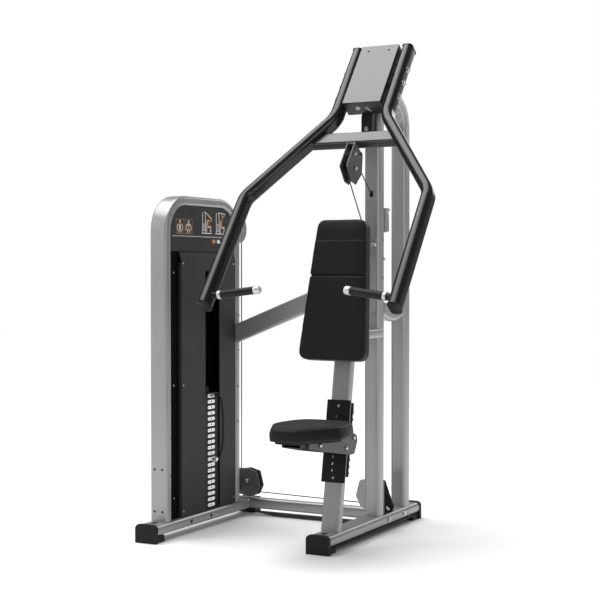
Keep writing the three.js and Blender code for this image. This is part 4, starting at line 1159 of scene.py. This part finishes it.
# seat carriage: plates bolted through the beam
for side in SIDES:
    for y, z in ((-598.8, 450), (-368.4, 413.6), (-297.7, 448.3)):
        bolt((side * CARRIAGE_FACE, y, z), (side, 0, 0), "seat", r=8.5, h=6, head=dome_head, ring="dark")
for side in SIDES:
    fit("bright", socket_head(4, 2.4), facing((side * 42, -700, 460), (side, 0, 0)), "seat")

# foot gusset: its two bolts
for y, z in ((84, 100), (100, 92)):
    bolt((34, y, z), PX, r=5, h=4)

# tower column and shroud: holes drawn as discs of painted shade, screws and rivets
for x, z in ((-751.6, 294), (-714.4, 294), (-752, 116.5), (-714, 116.5)):
    fit("void", hole(5.2), facing((x, -539, z), NY))
for y, z in ((-507, 586), (-507, 426), (-507, 267), (45, 604.5), (45, 444.4)):
    fit("void", hole(5), facing((TOWER_FACE, y, z), PX))
for z in (925, 767.5):
    bolt((TOWER_FACE, 48, z), PX, r=6.5, h=5)
for z in (1121, 642, 162):
    fit("bright", dome_head(4.2, 2.4), facing((-709, -457, z), PX))
for y, z in ((-405, 1160), (-405, 640), (-405, 100), (12, 1160), (12, 100)):
    fit("bright", dome_head(4, 2.2), facing((-694, y, z), PX))

# tower low bracket: axle bolt, clamp bolt, empty holes drawn as discs of painted shade
bolt((TOWER_FACE, 127, 158.8), PX, r=8, h=6)
bolt((TOWER_FACE, 102, 98), PX, r=5, h=4, ring="dark")
for y, z in ((215, 105), (70, 134.5)):
    fit("void", hole(5), facing((TOWER_FACE, y, z), PX))

# top pulley bracket: axles
top = machine_box("top_pulley_bracket")
for y in (-119, 101):
    for side, x in ((-1, top[0].x), (1, top[1].x)):
        bolt((x, y, 1320), (side, 0, 0), r=8, h=6)

# number plate screws
for z in (516.6, 225):
    fit("bright", socket_head(5, 2.6), facing((0, -4.3, z), NY), "frame", POST)

KIT_LOOKS = {
    "bright": (ZINC, "bright_steel", "bolts"),
    "dark": (NYLON, "black_plastic", "plugs"),
    "void": (PAINTED_HOLE_SHADE, "black_plastic", "holes"),
}
for (kind, body), shapes in kits.items():
    material, slot, word = KIT_LOOKS[kind]
    piece(f"{body}_{word}", joined(shapes), material, body, Matrix.Identity(4), 35)

# ---- plates: labels with a faint painted glow, holes drawn as discs of painted shade, numbers

PLATE_PITCH = 25.4
LABEL_TOP = 576.3
LOWEST_LIFTED = 284.2
PLATES = 20
PLATE_LABEL = tile(28.5, 7.2, 5, 0.5, 0.2, 5)
STEP_OF_NUMBERS = 5
labels, numbers, wells = {}, {}, {}
for k in range(PLATES):
    z = LABEL_TOP - PLATE_PITCH * k
    body = "weight_stack" if z > LOWEST_LIFTED else "frame"
    m = facing((PLATE_FACE, STACK_Y - 1.5, z), PX)
    labels.setdefault(body, []).append(moved(PLATE_LABEL, m))
    digits = text_shape(str(STEP_OF_NUMBERS * (k + 1)), 7, 0.3)
    numbers.setdefault(body, []).append(moved(digits, m @ Matrix.Translation((-20, 0, 0.6))))
    if abs(z - PIN_Z) > 5:
        wells.setdefault(body, []).append(moved(hole(3.8), facing((PLATE_FACE + 0.55, STACK_Y, z), PX)))
for body in labels:
    piece(f"{body}_plate_labels", joined(labels[body]), GLOWING_LABEL_INK, body)
    piece(f"{body}_plate_numbers", joined(numbers[body]), DARK_INK, body)
    piece(f"{body}_plate_holes", joined(wells[body]), PAINTED_HOLE_SHADE, body)

# ---- number plate digits

SEAT_STEPS = 9
SEAT_STEP = 27.54
digits = []
for k in range(SEAT_STEPS):
    m = facing((-7, -4.3, 473.5 - SEAT_STEP * k), NY)
    digits.append(moved(text_shape(str(k + 1), 13, 0.4), m @ Matrix.Translation((0, 0, 0.1))))
piece("seat_height_digits", joined(digits), WHITE_INK, place=POST)

# ---- placard print

placard_box = machine_box("placard")
sheet_x = placard_box[1].x
white, orange, silver = [], [], []


def on_sheet(y, z):
    return facing((sheet_x, y, z), PX)


def stroke(y0, z0, points, width):
    """A flat printed line through (y, z) points counted from (y0, z0)."""
    shape = tube([(y0 + y, z0 + z, 0) for y, z in points], width / 2, 8)
    flat = Matrix.Scale(0.25, 4, (0, 0, 1))
    return moved(shape, facing((sheet_x, 0, 0), PX) @ flat)


sheet_middle = (placard_box[0].y + placard_box[1].y) / 2
silver.append(moved(tile(245, 2.2, 0.5, 0.5, 0.2, 2), on_sheet(sheet_middle, 1277)))
# two framed figures of the trained muscles, then two of the machine, arms down and arms up
for y0, back in ((-450, False), (-382, True)):
    z0 = 1288
    mid = y0 + 29
    orange.append(stroke(y0, z0, [(0, 0), (58, 0), (58, 60), (0, 60), (0, 0)], 2.2))
    white.append(moved(tile(5, 5.5, 5, 0.6, 0.2), on_sheet(mid, z0 + 51)))
    for way in SIDES:
        (white if back else orange).append(stroke(mid, z0, [(way * 5, 42), (way * 12, 36)], 10))
        white.append(stroke(mid, z0, [(way * 16, 38), (way * 21, 24), (way * 19, 12)], 4.5))
        white.append(stroke(mid, z0, [(way * 6, 18), (way * 8, 4)], 6))
    (orange if back else white).append(stroke(mid, z0, [(0, 36), (0, 18)], 12))
for y0, lift in ((-248, 0), (-134, 26)):
    z0 = 1290
    white.append(stroke(y0, z0, [(8, 4), (8, 92), (30, 98), (34, 4)], 5))
    white.append(stroke(y0, z0, [(0, 3), (84, 3)], 4))
    white.append(stroke(y0, z0, [(42, 6), (44, 60)], 4))
    for k in range(4):
        white.append(stroke(y0, z0, [(12, 16 + 9 * k), (29, 16 + 9 * k)], 4))
    white.append(stroke(y0, z0, [(50, 30), (74, 30), (70, 8)], 5))
    orange.append(stroke(y0, z0, [(50, 36), (54, 66)], 10))
    orange.append(stroke(y0, z0, [(50, 34), (76, 34), (78, 8)], 7))
    orange.append(stroke(y0, z0, [(54, 62), (70, 56 + lift), (84, 62 + lift)], 5))
    orange.append(moved(tile(6.5, 6.5, 6.5, 0.6, 0.2), on_sheet(y0 + 57, z0 + 82)))
    white.append(stroke(y0, z0, [(30, 96), (84, 66 + lift)], 4))
for y, tint in ((-147, orange), (-108, white)):
    tint.append(moved(tile(13, 8, 3, 0.5, 0.2), on_sheet(y, 1258)))
piece("placard_white_print", joined(white), WHITE_INK)
piece("placard_orange_print", joined(orange), ORANGE_INK)
piece("placard_divider", joined(silver), SILVER_INK)

# ---- trim: strip, grommet

strip = moved(tile(44, 448, 4, 9.6, 1.2), facing((0, -37, 18.2), PZ, (0, 1, 0)))
piece("seat_rail_strip", strip, RUBBER)

grommet_rings = []
for z, inset in ((-0.2, 0), (1.8, 0.2), (2.8, 1.4), (2.8, 3.2), (1.0, 4.2), (0.6, 4.4)):
    ring = rounded(8 - inset, 13.5 - inset, 8 - inset, 8)
    grommet_rings.append([(x, y, z) for x, y in ring])
piece("cable_grommet", moved(loft(grommet_rings), facing(GROMMET, NY)), NYLON)

# ---- floor and light

floor_mesh = bpy.data.meshes.new("floor")
reach = 14
corners = [(-reach, -reach, 0), (reach, -reach, 0), (reach, reach, 0), (-reach, reach, 0)]
floor_mesh.from_pydata(corners, [], [(0, 1, 2, 3)])
floor = bpy.data.objects.new("floor", floor_mesh)
floor.location.z = -0.0005
scene.collection.objects.link(floor)
paper = Paint("studio_floor")
paper.colour(paper.mix(paper.noise(1.5, 3), (0.93, 0.93, 0.93), (0.95, 0.95, 0.95)))
paper.roughness(paper.remap(paper.noise(8, 2), 0.85, 0.95))
floor_mesh.materials.append(paper.material)

world = bpy.data.worlds.new("studio")
world.use_nodes = True
tree = world.node_tree
# The sky lights the scene softly; seen by the camera itself it is plain white
FILL_LIGHT = 0.2
WHITE = (1, 1, 1, 1)
back = tree.nodes["Background"]
back.inputs["Color"].default_value = WHITE
back.inputs["Strength"].default_value = FILL_LIGHT
bright = tree.nodes.new("ShaderNodeBackground")
bright.inputs["Color"].default_value = WHITE
bright.inputs["Strength"].default_value = 1.0
path_node = tree.nodes.new("ShaderNodeLightPath")
mixer = tree.nodes.new("ShaderNodeMixShader")
tree.links.new(path_node.outputs["Is Camera Ray"], mixer.inputs["Fac"])
tree.links.new(back.outputs[0], mixer.inputs[1])
tree.links.new(bright.outputs[0], mixer.inputs[2])
tree.links.new(mixer.outputs[0], tree.nodes["World Output"].inputs["Surface"])
scene.world = world


def softbox(name, place, target, size, power):
    light = bpy.data.lights.new(name, "AREA")
    light.shape = "RECTANGLE"
    light.size, light.size_y = size
    light.energy = power
    obj = bpy.data.objects.new(name, light)
    obj.location = place
    obj.rotation_euler = (Vector(target) - Vector(place)).to_track_quat("-Z", "Y").to_euler()
    scene.collection.objects.link(obj)


sky = bpy.data.lights.new("overhead_sky", "SUN")
sky.energy = 3.0
sky.angle = math.radians(62)
sky_obj = bpy.data.objects.new("overhead_sky", sky)
sky_obj.rotation_euler = (math.radians(4), math.radians(-18), 0)
scene.collection.objects.link(sky_obj)
softbox("overhead_softbox", (-0.9, -0.3, 4.6), (-0.1, 0.0, 1.0), (2.6, 2.4), 30)
softbox("camera_side_softbox", (4.4, -2.6, 2.4), (0.0, 0.0, 1.0), (1.2, 3.0), 34)
softbox("left_softbox", (-3.8, -3.4, 2.4), (0.0, 0.0, 1.0), (1.2, 3.0), 26)
softbox("rear_softbox", (0.5, 4.6, 3.0), (0.0, 0.0, 1.0), (2.6, 2.0), 40)
